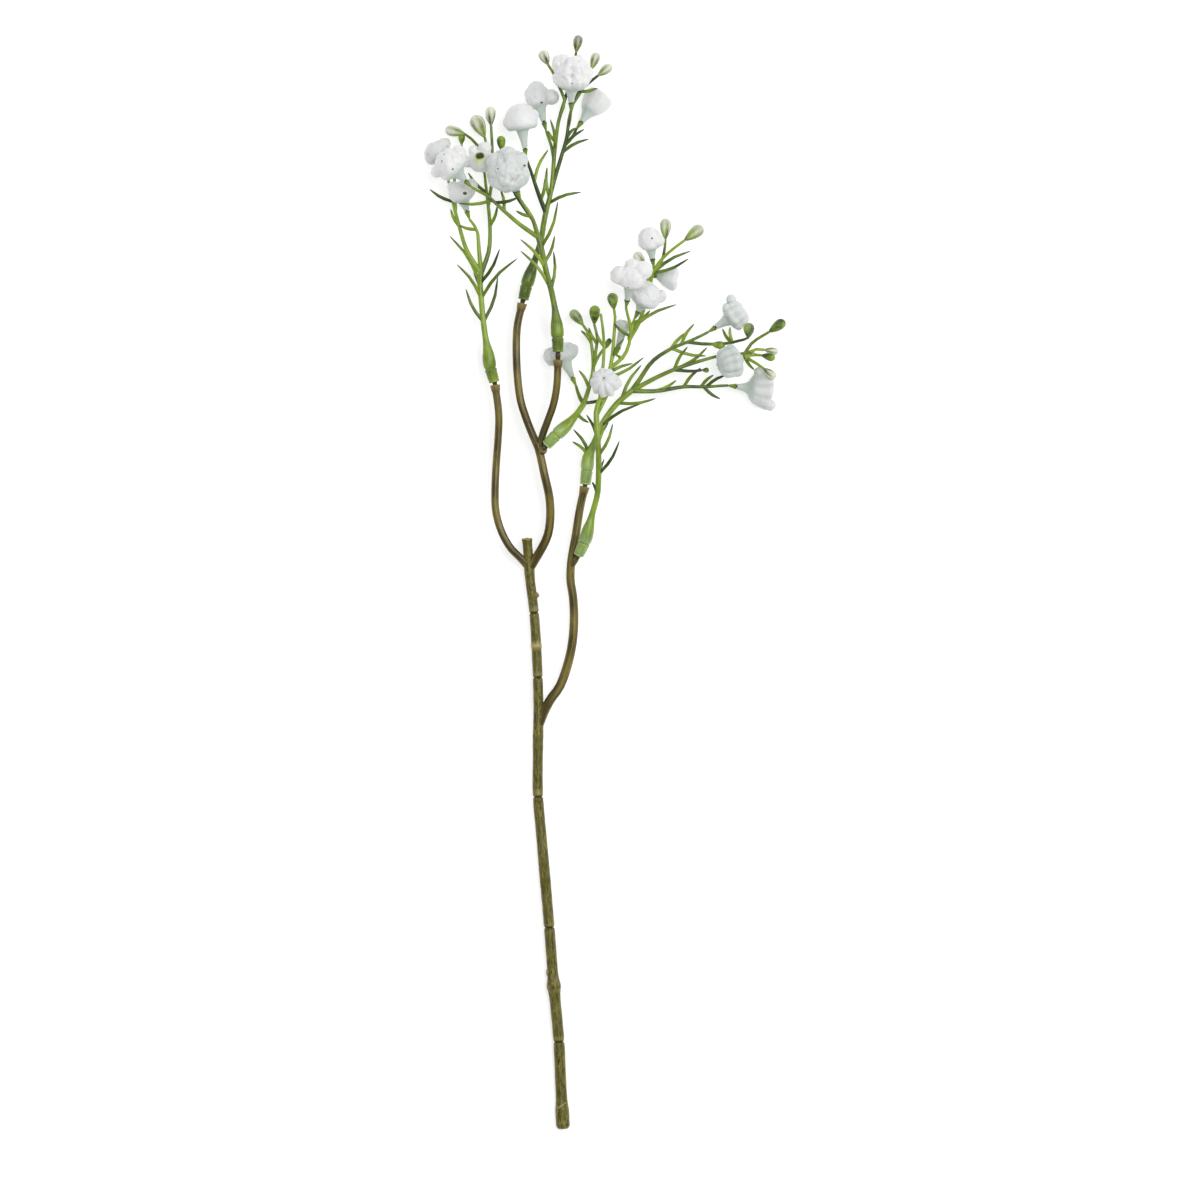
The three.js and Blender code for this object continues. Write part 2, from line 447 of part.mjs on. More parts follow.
const SPRAY_E = {
  name: "spray_e",
  stalk: [
    [-8.1, 44.9, 14], [-7.4, 51, 14], [-6.5, 58, 14.2], [-4, 64, 14.4], [-1, 71.5, 14.4], [2.5, 77, 14.2],
    [6.5, 82, 14], [13.5, 88, 14],
  ],
  twigs: [
    { route: [[13, 87.6, 14], [16.5, 92.5, 14.5], [22.5, 101, 15.5], [31.5, 107, 16], [39, 110, 16.5]],
      bloom: "bloom_16" },
    { route: [[38.5, 109.8, 16.4], [45, 109, 15], [52.5, 109, 14], [58.5, 109.5, 16], [62.5, 110.5, 20],
      [66, 111.5, 24]], slim: true, bud: { tip: [66.5, 118, 27], width: 5.9 } },
    { route: [[13, 87.6, 14], [24, 93.5, 15], [33, 97.5, 15.5], [47, 102, 15], [53, 103.5, 13.5],
      [60, 104, 12.5], [64.5, 103.5, 12.5]] },
    { route: [[13, 87.6, 14], [24, 87.5, 13.5], [37, 89.5, 12.5], [47, 89.5, 11.5]], bloom: "bloom_18" },
    { route: [[32, 97.2, 15.4], [40.5, 96.5, 15.5], [45, 97, 15.5]], slim: true,
      bud: { tip: [48.3, 97, 15.5], width: 2.7 } },
    { route: [[64, 103.5, 12.5], [67.5, 109, 12.8], [71.5, 112, 13.5], [75, 114, 14]], slim: true,
      bud: { tip: [83, 119.5, 14.5], width: 5.5 } },
    { route: [[64, 103.5, 12.5], [69, 106.5, 11], [73, 106.5, 10.5]], slim: true,
      bud: { tip: [80, 105.5, 9], width: 4.1 } },
    { route: [[63.5, 103.5, 12.5], [70.5, 104, 14.5]], slim: true, bud: { tip: [78.5, 102.5, 16], width: 4.1 } },
    { route: [[64, 103.5, 12.5], [67.5, 101.5, 14], [71.5, 99, 15.5]], slim: true,
      bud: { tip: [78.5, 93.5, 18.5], width: 4.5 } },
    { route: [[45, 109, 15], [48.5, 109, 15.4]], slim: true, bud: { tip: [55.5, 108, 17], width: 4.1 } },
    { route: [[60.5, 103.9, 12.5], [65, 104.8, 13.2], [68.4, 104.8, 16.5]], bloom: "bloom_17", slim: true },
  ],
  leaves: [
    [[-6.3, 59], [-13.5, 70]], [[-6.5, 58], [-14, 64.5]], [[-1, 71.5], [17, 81.5]],
    [[8.5, 83.5], [17.5, 99.5]], [[6.5, 82], [24, 84]], [[31, 106.5], [39.5, 115]],
    [[35.5, 108.5], [41.5, 118]], [[31.5, 107], [47, 103.5]], [[32.5, 97.3], [38.5, 107.5]],
    [[34, 98], [47.5, 107.5]], [[37, 89.5], [44.5, 98]], [[45, 89.5], [50.5, 95]],
    [[47.5, 89.5], [56.5, 95]], [[46, 89.5], [53.5, 84]], [[58.5, 109.5], [54.5, 116, 11]],
    [[59, 109.5], [58, 117, 6.5]], [[64.5, 103.5], [69, 97]], [[24, 87.5], [33.5, 92.5]],
  ],
};
const SPRAY_F = {
  name: "spray_f",
  stalk: [
    [-11.2, 12.8, 16.4], [-8.5, 18.5, 18.2], [-6.5, 25, 19.4], [-5, 31, 20.3], [-2.5, 40.5, 22],
    [-2, 48.5, 24], [-2, 57.5, 25.5], [-2.5, 68, 26.5], [-3, 77.5, 26.5], [-1.5, 83, 26],
  ],
  twigs: [
    { route: [[-2.9, 76, 26.5], [0, 81.5, 27]], bloom: "bloom_14", slim: true },
    { route: [[-1.6, 82.5, 26], [0, 98.5, 22], [0.5, 107.5, 22], [0, 115, 22.5], [-1, 122.5, 23]], slim: true },
    { route: [[-1.6, 82.5, 26], [2.5, 94, 21.5], [4.5, 105.5, 21], [5, 112.5, 21.5], [5.5, 122, 22],
      [5, 124.5, 22.5]], bud: { tip: [4, 132, 23], width: 5.5 } },
    { route: [[-1.6, 82.5, 26], [1, 92.5, 20.5], [3.5, 98, 19.5], [8, 101.5, 19.5], [11, 106, 20],
      [12.5, 112.5, 21], [12.3, 117.5, 22.5]], bloom: "bloom_11" },
    { route: [[12, 111, 20.7], [16.5, 119, 13], [20, 130, 12], [21.8, 137, 15]], bloom: "bloom_10" },
    { route: [[12.6, 114.5, 21.4], [13.6, 118, 20.8]], bloom: "bloom_12", slim: true },
    { route: [[20.3, 131, 12.2], [20.5, 137.5, 14]], bloom: "bloom_13", slim: true },
    { route: [[22, 139.8, 16.8], [26, 145, 17], [28, 151.5, 18]], slim: true,
      bud: { tip: [28.5, 166, 19], width: 5.9 } },
    { route: [[22.2, 140.5, 17], [25.5, 145.8, 20], [29.5, 150, 21.5]], slim: true,
      bud: { tip: [45.5, 162, 23], width: 6.4 } },
    { route: [[8, 101.5, 19.5], [7.3, 103.3, 17.2]], bloom: "bloom_19", slim: true },
    { route: [[21.6, 136, 14.4], [19.8, 143.5, 16]], slim: true, bud: { tip: [14.5, 150.5, 18], width: 5 } },
  ],
  leaves: [
    [[-2.5, 40.5], [-5, 46]], [[-2.5, 40.5], [0.5, 56.5]], [[-2, 49], [7.5, 64.5]],
    [[-2.3, 64], [-7.5, 76.5]], [[-2, 57.5], [4.5, 72.5]], [[-2.2, 63], [2.5, 73]],
    [[12.5, 112.5], [5, 118]], [[13.5, 115.5], [33.5, 127]], [[14.3, 119.5], [21.5, 124]],
    [[2, 95], [13.5, 100]], [[1.6, 93], [18.5, 102.5]], [[0.5, 107.5], [-3, 114]],
    [[4, 102], [9.5, 111]], [[22.5, 141], [40, 151.5]], [[22.5, 141], [39, 147.5]],
    [[20.2, 132], [14, 141, 8]],
  ],
};
const SPRAYS = [SPRAY_A, SPRAY_B, SPRAY_C, SPRAY_D, SPRAY_E, SPRAY_F];

// A bud's outline back from its tip: [share of its length, share of its width]
const BUD_PROFILE = [[0.7, 0.42], [0.32, 0.48], [0, 0.14]];
const BUD_SLENDERNESS = 1.6; // a bud's length over its width; any longer reach is its bare stalk

// Ringed socket that narrows into the stalk: [distance from the lip, share of the socket's radius]
const SOCKET_PROFILE = [[0, 0.82], [6, 0.94], [6.5, 0.8], [7.3, 0.97], [10.5, 1], [14, 0.84], [17.5, 0.6]];

function stalkWithSocket(route) {
  const lip = SOCKET_PROFILE.map(([along, share]) => [along, share * SOCKET_RADIUS]);
  const length = curveThrough(route).getLength();
  const from = 20;
  const rows = Math.max(1, Math.round((length - from) / TWIG_STEP));
  const rest = Array.from({ length: rows + 1 }, (_, row) => [
    THREE.MathUtils.lerp(from, length, row / rows),
    STALK_RADIUS,
  ]);
  return limb(route, [...lip, ...rest], 7);
}

function socketBore(route) {
  const lip = vector(route[0]);
  const before = lip.clone().add(lip.clone().sub(vector(route[1])).setLength(1));
  const depths = [0, SOCKET_BORE_DEPTH / 2, SOCKET_BORE_DEPTH + 1];
  return limb([before.toArray(), ...route], depths.map((depth) => [depth, SOCKET_BORE_RADIUS]), 6);
}

// Places along a bloom's axis: the foot of the green cup, its shoulder, and the end of its pip.
function calyxPlaces(name) {
  const root = vector(BLOOMS[name].root);
  const axis = bloomAxis(BLOOMS[name]);
  return [-CLEARANCE - CALYX_LENGTH, -CLEARANCE, PIP_LENGTH - CLEARANCE].map((along) =>
    root.clone().addScaledVector(axis, along).toArray(),
  );
}

// A twig is one limb with what it carries: a bloom's cup and pip, an egg-shaped bud, or nothing.
function twig({ route, bloom: carried, bud, slim }) {
  const first = slim ? TWIG_RADIUS : BRANCH_RADIUS;
  let whole = route;
  let endLength = 0;
  let end = [[-0.001, PEDICEL_RADIUS]];
  if (carried) {
    whole = [...route, ...calyxPlaces(carried)];
    endLength = CALYX_LENGTH + PIP_LENGTH;
    end = [
      [-endLength, PEDICEL_RADIUS], [-PIP_LENGTH, CALYX_RADIUS], [-PIP_LENGTH, PIP_RADIUS], [-0.001, PIP_RADIUS],
    ];
  }
  if (bud) {
    whole = [...route, bud.tip];
    endLength = Math.min(vector(bud.tip).distanceTo(vector(route.at(-1))), BUD_SLENDERNESS * bud.width);
    end = BUD_PROFILE.map(([share, width]) => [-Math.max(share * endLength, 0.001), width * bud.width]);
    end.unshift([-endLength, PEDICEL_RADIUS]);
  }
  const bare = curveThrough(whole).getLength() - endLength;
  const rows = Math.max(1, Math.round(bare / TWIG_STEP));
  const along = Array.from({ length: rows }, (_, row) => [
    (bare * row) / rows,
    THREE.MathUtils.lerp(first, PEDICEL_RADIUS, row / rows),
  ]);
  return limb(whole, [...along, ...end], 5);
}

// Height of the spray's limbs over a place on the table, to foot a leaf on.
function heightAt(routes, [x, y]) {
  let best = { gap: Infinity, z: 0 };
  for (const route of routes) {
    for (const point of curveThrough(route).getSpacedPoints(60)) {
      const gap = Math.hypot(point.x - x, point.y - y);
      if (gap < best.gap) best = { gap, x: point.x, y: point.y, z: point.z };
    }
  }
  return [best.x, best.y, best.z];
}

// Seeded draw between 0 and 1, for the tilt of the leaves.
function seededDraw(seed) {
  let state = seed;
  return () => {
    state = (state * 16807) % 2147483647;
    return state / 2147483647;
  };
}

// A needle leaf: three-sided, widest near its foot, bowed outwards, its tip tilted up or down by turns.
function leaf(routes, [foot, tip], index, draw) {
  const start = vector(heightAt(routes, foot));
  const length = Math.hypot(tip[0] - start.x, tip[1] - start.y);
  const tilt = (index % 2 ? -1 : 1) * (0.12 + 0.3 * draw()) * length;
  const end = new THREE.Vector3(tip[0], tip[1], tip[2] ?? Math.max(2.5, start.z + tilt));
  const across = new THREE.Vector3().subVectors(end, start).cross(UP).normalize();
  const bow = 0.07 * length * (draw() < 0.5 ? -1 : 1);
  const middle = start.clone().lerp(end, 0.5).addScaledVector(across, bow);
  middle.z += 0.06 * length;
  return limb(
    [start.toArray(), middle.toArray(), end.toArray()],
    [[0, LEAF_WIDTH * 0.6], [length * 0.5, LEAF_WIDTH * 0.58], [-0.001, LEAF_TIP_WIDTH / 2]],
    3,
  );
}

function spray({ name, stalk, twigs, leaves }, index) {
  const draw = seededDraw(101 + index);
  const routes = [stalk, ...twigs.map(({ route }) => route)];
  const outside = joined([
    stalkWithSocket(stalk),
    ...twigs.map(twig),
    ...leaves.map((one, i) => leaf(routes, one, i, draw)),
  ]);
  return mesh(name, outside.subtract(socketBore(stalk)), LEAF_GREEN);
}

const gypsophila = new THREE.Group();
gypsophila.add(stem());
gypsophila.add(mesh("wire_armature", armature(WIRE_RADIUS, CLEARANCE, WIRE_TIP), WIRE));
SPRAYS.forEach((one, index) => gypsophila.add(spray(one, index)));
Object.keys(BLOOMS).forEach((name, index) => gypsophila.add(bloom(name, index * 0.7)));

gypsophila.position.set(-OUTLINE_MIDDLE_X, -OUTLINE_MIDDLE_Y, 0);

export default gypsophila;
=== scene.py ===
"""A moulded gypsophila stem lying on a table, seen from straight above."""

import math
import random
from collections import namedtuple

import bmesh
import bpy
from bpy.props import FloatProperty, FloatVectorProperty, IntProperty, PointerProperty
from mathutils import Matrix, Quaternion, Vector


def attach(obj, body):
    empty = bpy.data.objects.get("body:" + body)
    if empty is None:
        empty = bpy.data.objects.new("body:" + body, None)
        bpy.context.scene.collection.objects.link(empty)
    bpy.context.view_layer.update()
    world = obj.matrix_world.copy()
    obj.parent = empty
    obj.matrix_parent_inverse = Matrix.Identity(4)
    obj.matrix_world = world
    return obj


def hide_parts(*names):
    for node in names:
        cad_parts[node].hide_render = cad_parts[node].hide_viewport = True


bl_info = {
    "name": "Gypsophila stem",
    "version": (1, 0, 0),
    "blender": (4, 5, 0),
    "location": "View3D > Sidebar > Gypsophila",
    "description": "Models a moulded gypsophila stem round its packed solids",
    "category": "Add Mesh",
}

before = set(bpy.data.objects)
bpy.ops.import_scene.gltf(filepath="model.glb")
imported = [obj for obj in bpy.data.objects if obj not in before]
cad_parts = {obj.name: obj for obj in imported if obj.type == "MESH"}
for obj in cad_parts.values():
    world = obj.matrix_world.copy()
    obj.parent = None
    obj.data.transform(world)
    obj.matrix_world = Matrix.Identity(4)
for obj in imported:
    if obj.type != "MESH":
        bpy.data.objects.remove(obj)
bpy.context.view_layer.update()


# The tables below are in millimetres: x across the lying stem, y along it towards the blooms,
# z up from the table. The middle of the outline lies at OUTLINE_MIDDLE in them.
MM = 0.001
OUTLINE_MIDDLE = Vector((1.08, 0.09, 0))
UP = Vector((0, 0, 1))

# Routes of the main stem and of its arms
MAIN_ROUTE = [
    [-18.2, -249.5, 2.6], [-19.2, -230.5, 3.1], [-20.2, -209, 3.8], [-22.6, -182.5, 4.5],
    [-24.6, -156.5, 5.3], [-28, -117, 6.3], [-29.7, -96.5, 6.9], [-29.7, -76.5, 7.4], [-29.5, -53, 8],
    [-30.5, -27.5, 8.7], [-31.6, -12, 9.2], [-33.2, 1, 9.7], [-33.8, 9, 10], [-34.7, 20.5, 10.6],
]
LEFT_ARM = [
    [-33.7, 7, 10], [-38, 11.8, 11], [-42, 15.8, 12], [-46.3, 23.5, 12.5], [-48.9, 33, 13], [-49.2, 42.5, 13],
    [-48.7, 54, 13], [-47.8, 66, 13.5], [-47.5, 77, 14], [-49.2, 90.3, 14],
]
MIDDLE_ARM = [
    [-33.5, 6.5, 10], [-30, 12.3, 11], [-27.3, 17, 12], [-25, 22.5, 13], [-24, 31, 14], [-24.5, 39.5, 15],
    [-26.5, 48.5, 16], [-28.5, 58, 16.5], [-30, 63.5, 16.5],
]
ARM_TO_B = [
    [-29.2, 61, 16.5], [-32.5, 68.5, 16], [-35, 75, 15.5], [-37.5, 83, 15], [-39, 94.5, 14.5],
    [-39.5, 108, 14], [-39, 117.5, 14], [-36.8, 127.5, 14],
]
ARM_TO_C = [
    [-29, 60.5, 16.5], [-27.5, 67.5, 17], [-25.5, 73, 17.5], [-22.5, 81.5, 18.5], [-21, 90, 19.5],
    [-20.5, 101.6, 20.1],
]
SIDE_ARM = [
    [-29.4, -65, 7.7], [-26.8, -58.5, 8.2], [-23.9, -53, 9], [-19.9, -47.5, 9.5], [-16.5, -38.5, 10],
    [-14.1, -28, 10.5], [-13.2, -16.5, 11], [-13.7, -6, 11.5], [-14.8, 1, 12], [-14.5, 9.5, 12.5],
    [-12.5, 21.5, 13], [-10.5, 34, 13.5], [-8.3, 43.9, 14],
]
# The arms, with the radii at the foot and at the far end of each. One whose wire comes out has a cup
Arm = namedtuple("Arm", "route radii wire_end")
ARMS = [
    Arm(LEFT_ARM, radii=[1.8, 1.75], wire_end=[[-49.6, 92.5, 14], [-51.3, 99, 14.4]]),
    Arm(MIDDLE_ARM, radii=[2.1, 1.9], wire_end=[]),
    Arm(ARM_TO_B, radii=[1.85, 1.8], wire_end=[[-36.3, 129.5, 14], [-34.9, 135.5, 14]]),
    Arm(ARM_TO_C, radii=[1.75, 1.72], wire_end=[[-20.5, 106, 20.4], [-20.7, 113, 20.8]]),
    Arm(SIDE_ARM, radii=[2.25, 1.85], wire_end=[[-8, 46, 14], [-7.3, 52.5, 14]]),
]
Knob = namedtuple("Knob", "foot top peg_end radius")
SIDE_KNOBS = [
    Knob(foot=[-28, 59.5, 16.5], top=[-27, 61, 19.3], peg_end=[-22.6, 66, 21.1], radius=1.9),
    Knob(foot=[-14.5, 7.5, 12.5], top=[-12, 11.3, 15.5], peg_end=[-9.2, 17.3, 17.8], radius=1.4),
]

# Blooms: where the tube starts, the middle of the head, its width, how tall it is as a share of its
# radius, how much darker it is, and the balls that its side lobes bulge out to
Bloom = namedtuple("Bloom", "root head width tall shade lobes", defaults=[0.0, []])
BLOOMS = {
    "bloom_01": Bloom(root=[-72.5, 189, 6.8], head=[-76, 197.3, 5], width=12.6, tall=1.6,
        shade=0.35, lobes=[[-72.4, 200.4, 6, 2.6]]),
    "bloom_02": Bloom(root=[-62.4, 182.5, 31], head=[-70, 190.6, 31.5], width=14.2, tall=1.75,
        lobes=[[-75.2, 187.2, 31, 2.6], [-65.4, 195.4, 31, 2.9]]),
    "bloom_03": Bloom(root=[-62, 169.5, 16], head=[-64.8, 178.6, 17], width=11.6, tall=1.6,
        shade=0.15, lobes=[[-68.4, 180.4, 17, 2.4], [-59.8, 181, 17.5, 2.8]]),
    "bloom_04": Bloom(root=[-38.9, 177.7, 30.5], head=[-42.9, 187.6, 33], width=18.8, tall=2,
        shade=0.6, lobes=[
            [-47.8, 190.4, 34, 4.2], [-38.4, 190.8, 34.5, 4.3], [-46.8, 183.6, 33.5, 4],
            [-38.6, 184, 33.5, 4.2], [-43.2, 193.2, 34.5, 3.8],
        ]),
    "bloom_05": Bloom(root=[-54.6, 189.5, 15], head=[-55.6, 192.9, 22.5], width=11.4, tall=1.3,
        shade=0.1, lobes=[[-53.8, 198, 22, 2.8], [-58.6, 196.6, 21.5, 2.3], [-61.3, 191.8, 20, 2.7]]),
    "bloom_06": Bloom(root=[-35.5, 197.7, 21], head=[-37.5, 212.7, 22.5], width=15, tall=1.65,
        shade=0.05, lobes=[[-43, 209.4, 22, 2.6], [-31.6, 213, 22, 2.4]]),
    "bloom_07": Bloom(root=[-26.9, 210, 14], head=[-30, 222.4, 13.5], width=11.6, tall=1.9,
        shade=0.25, lobes=[[-23.4, 221.4, 13.6, 3.5], [-30.2, 225.4, 13.8, 3.6]]),
    "bloom_08": Bloom(root=[-14.5, 218.3, 24.5], head=[-14.1, 232, 28], width=15.4, tall=2,
        lobes=[
            [-18.6, 235.8, 28, 4.2], [-9.6, 231.6, 28.5, 4.4], [-18.4, 228.9, 27.5, 3.9],
            [-11.6, 235.4, 28, 4],
        ]),
    "bloom_09": Bloom(root=[-10, 210.2, 9], head=[-3.8, 219.3, 5.7], width=13.4, tall=1.75,
        shade=0.1),
    "bloom_10": Bloom(root=[22.5, 147.5, 20.5], head=[21, 157, 24], width=10.4, tall=2,
        shade=0.1, lobes=[[25.2, 155.4, 24.5, 2.6]]),
    "bloom_11": Bloom(root=[11, 128.5, 28], head=[12.9, 139.4, 35], width=13, tall=1.6,
        lobes=[[7.6, 139.4, 35, 4], [17.8, 141.3, 35, 4.2], [13.2, 144, 35.5, 3]]),
    "bloom_12": Bloom(root=[16, 123.5, 21], head=[19.9, 131.3, 23], width=13.8, tall=1.6,
        shade=0.1, lobes=[[26.2, 130.4, 23, 2.6]]),
    "bloom_13": Bloom(root=[24.3, 140, 13.5], head=[30.4, 138.7, 14], width=10.8, tall=1.5,
        shade=0.3),
    "bloom_14": Bloom(root=[2.2, 88.6, 31], head=[0.6, 91.2, 40], width=14.4, tall=1.35,
        shade=0.4, lobes=[[6, 90.4, 38, 2.6]]),
    "bloom_15": Bloom(root=[-13.9, 93.6, 9.5], head=[-19, 105, 7.5], width=12.4, tall=1.5,
        shade=0.6, lobes=[[-15.4, 105.8, 8, 4], [-23.4, 103.6, 7.5, 3.8]]),
    "bloom_16": Bloom(root=[51.3, 116.5, 16.5], head=[61, 122.7, 17], width=15.2, tall=1.25,
        shade=0.65, lobes=[[58.4, 129.2, 17, 2.3]]),
    "bloom_17": Bloom(root=[64, 102.5, 22], head=[58.3, 100.7, 23], width=16, tall=1.4, shade=1),
    "bloom_18": Bloom(root=[60.8, 89.7, 10], head=[72.6, 88.4, 8.1], width=18.4, tall=1.25,
        shade=0.45, lobes=[[76.4, 81.2, 9, 2.4], [71.4, 96, 9.5, 2.6]]),
    "bloom_19": Bloom(root=[7, 107.5, 15], head=[9.5, 117, 13], width=8.2, tall=1.35, shade=0.5),
}

# Sprays: the stalk from the socket's lip to the fork, the twigs with the bloom or bud that each carries,
# and the leaves as [foot, tip], the tip with a height of its own where it has to pass a neighbour. The
# tone goes from dark green at 0 to bright green at 1, and a slim twig is thinner at its foot
Spray = namedtuple("Spray", "name tone stalk twigs leaves")
Twig = namedtuple("Twig", "route bloom bud slim", defaults=[None, None, False])
Bud = namedtuple("Bud", "tip width white", defaults=[0.0])
SPRAY_A = Spray(
    name="spray_a",
    tone=0.66,
    stalk=[
        [-49.5, 91.6, 14], [-51.5, 98.8, 14.5], [-52.5, 106, 15], [-53.5, 111.5, 15.3], [-54.5, 119, 15.3],
        [-55.5, 129.5, 15], [-56, 136.5, 15], [-55.5, 141.5, 15],
    ],
    twigs=[
        Twig([[-55.5, 141, 15], [-62, 151.5, 15], [-65.5, 162.5, 13], [-68.5, 174, 10]], bloom="bloom_01"),
        Twig([[-55.5, 141, 15], [-56.5, 151.5, 16], [-57.5, 161, 16]], bloom="bloom_03"),
        Twig([[-55.5, 141, 15], [-52, 151.5, 15], [-51.5, 162.5, 14], [-52.5, 173.5, 12.5], [-53.5, 182, 11]],
            bloom="bloom_05"),
        Twig([[-52.3, 172, 12.7], [-50.5, 185, 11], [-50.5, 198, 10.5], [-51, 207.5, 11]], slim=True,
            bud=Bud([-51.5, 217.5, 12], 5.5, 0.95)),
        Twig([[-51, 184, 11.2], [-52.5, 195, 9.5], [-54, 203.5, 9.5]], slim=True,
            bud=Bud([-59, 213.5, 8.5], 7.4, 0.8)),
        Twig([[-52, 191, 10], [-57.5, 200, 7.8], [-63, 205, 7]], slim=True,
            bud=Bud([-72, 207.5, 6], 5.9, 0.85)),
        Twig([[-67.3, 170, 10.9], [-67.5, 187.5, 9.5], [-64.5, 197, 9.5], [-64.5, 200, 9.5]], slim=True,
            bud=Bud([-64.5, 205, 10], 3.6)),
    ],
    leaves=[
        [[-54.5, 119], [-62.5, 134]], [[-54.5, 119], [-48, 139.5]], [[-55.5, 129.5], [-66.5, 145]],
        [[-55.5, 129.5], [-59, 141.5]], [[-54.5, 130], [-39, 147.5]], [[-56, 136.5], [-70, 158.5]],
        [[-56, 136.5], [-47, 152]], [[-65.5, 162.5], [-69.5, 170.5]], [[-68.5, 174], [-79, 179.5]],
        [[-57.5, 161], [-65.5, 163]], [[-51.5, 162.5], [-48, 172]], [[-52.7, 178], [-61.5, 187, 14.5]],
        [[-50.8, 183.5], [-45.8, 193.5, 15]],
    ],
)
SPRAY_B = Spray(
    name="spray_b",
    tone=0.42,
    stalk=[
        [-36.3, 129.2, 14], [-35, 135, 14], [-33.1, 141, 14], [-30.3, 149.5, 14], [-28, 157.5, 14.5],
        [-27, 164, 15], [-26, 169, 15],
    ],
    twigs=[
        Twig([[-26, 168.5, 15], [-29.5, 177.5, 17], [-32.5, 186.5, 19]], bloom="bloom_06"),
        Twig([[-26, 168.5, 15], [-23.5, 179.5, 15.5], [-22, 197, 16], [-20, 211.5, 17], [-17.5, 219.5, 17.5],
            [-20, 226, 18], [-22.5, 232, 18], [-25, 236, 18]], bud=Bud([-28, 242.5, 18.5], 5.5, 0.85)),
        Twig([[-22.3, 192.5, 16], [-23.5, 199, 15]], bloom="bloom_07", slim=True),
        Twig([[-19.4, 213.5, 17.1], [-15, 228, 16], [-13, 235.5, 15.5], [-12.5, 240, 15.5]], slim=True,
            bud=Bud([-11, 249.7, 15.5], 5, 0.5)),
        Twig([[-25.8, 170, 15], [-22.5, 182.5, 15.5], [-18, 197.5, 16.5], [-16.5, 203, 17],
            [-15.5, 211, 17.5], [-13.5, 218.5, 16], [-11, 224, 14]]),
        Twig([[-17.4, 199.5, 16.8], [-14.5, 202.5, 14]], bloom="bloom_09", slim=True),
        Twig([[-15.8, 208, 17.3], [-15, 211.3, 19.5]], bloom="bloom_08", slim=True),
        Twig([[-13.3, 219, 15.8], [-9, 226, 12.5], [-6, 232.5, 11]], slim=True,
            bud=Bud([-2.5, 242, 11], 5, 0.75)),
        Twig([[-11.3, 223.5, 14.1], [-7.5, 227, 14.2], [-4.5, 229.5, 14.5]], slim=True,
            bud=Bud([4, 236, 15.5], 5, 0.85)),
    ],
    leaves=[
        [[-25, 173], [-10, 178]], [[-18, 196], [-6.5, 202.5]], [[-17.3, 199], [-8.5, 206.5]],
        [[-31, 183], [-25, 197.5]], [[-22, 197], [-24, 211]], [[-21.5, 201], [-25, 206]],
        [[-28.5, 174.5], [-26.5, 184]], [[-24.5, 176], [-25.5, 189.5]], [[-11, 224], [-2.5, 225.5]],
        [[-16.5, 202.5], [-12.5, 207.5]],
    ],
)
SPRAY_C = Spray(
    name="spray_c",
    tone=0.42,
    stalk=[
        [-20.5, 105.2, 20.4], [-20.7, 112.5, 20.8], [-21.2, 119, 21], [-22, 125.5, 21.5], [-23.5, 133, 22.5],
        [-26, 142.5, 24], [-28, 152, 25], [-29.5, 157.5, 25.5],
    ],
    twigs=[
        Twig([[-29.3, 157, 25.5], [-38, 163, 28], [-45, 169, 30], [-53, 176, 31]], bloom="bloom_02"),
        Twig([[-29.3, 157, 25.5], [-32.5, 166.5, 27.5]], bloom="bloom_04"),
        Twig([[-32, 165, 27.2], [-40.5, 178, 22], [-45, 189, 20], [-46, 196.5, 20.5]], slim=True,
            bud=Bud([-46.5, 203.5, 21.5], 4.5)),
    ],
    leaves=[
        [[-23.5, 133], [-37.5, 151]], [[-23.5, 133], [-22.5, 151]], [[-26, 142.5], [-37.5, 156]],
        [[-26.5, 145], [-22, 158]], [[-28, 152], [-20.5, 173]], [[-50.5, 173.5], [-65.5, 172.5]],
        [[-49, 172.5], [-38, 175]], [[-45, 169], [-46.5, 178.5]], [[-32.5, 166.5], [-39.5, 169]],
    ],
)
SPRAY_D = Spray(
    name="spray_d",
    tone=0.72,
    stalk=[[-25.8, 62.7, 20.2], [-21.3, 67.3, 21], [-16, 72.3, 20], [-12.3, 76.5, 18.4], [-8.5, 82, 16]],
    twigs=[
        Twig([[-8.8, 81.6, 16], [-11, 85.5, 13.5]], bloom="bloom_15"),
        Twig([[-8.8, 81.6, 16], [-6.5, 88.5, 15.5], [-4.5, 97, 15], [-5, 107, 14.5], [-6.5, 113.5, 14],
            [-9, 117.5, 13.5]], bud=Bud([-14.5, 124.5, 12.5], 5.5, 0.45)),
        Twig([[-4.6, 96.5, 15], [-3, 107.5, 16], [-2.5, 112, 16.2], [-4, 118, 16.2]], slim=True,
            bud=Bud([-3.5, 126.5, 16.5], 5.7)),
        Twig([[-4.6, 98, 15], [-2, 103.5, 14.6], [1, 107.5, 13.8]], slim=True,
            bud=Bud([3.5, 111.5, 13.2], 3)),
    ],
    leaves=[
        [[-5, 109.5], [-10, 115]], [[-2.8, 109], [-6.5, 116.5]], [[0.8, 107], [3.5, 110.5]],
        [[-8.5, 82], [2, 85]], [[-12, 77.5], [-6.5, 73]], [[-6.5, 88.5], [-11, 97]],
    ],
)
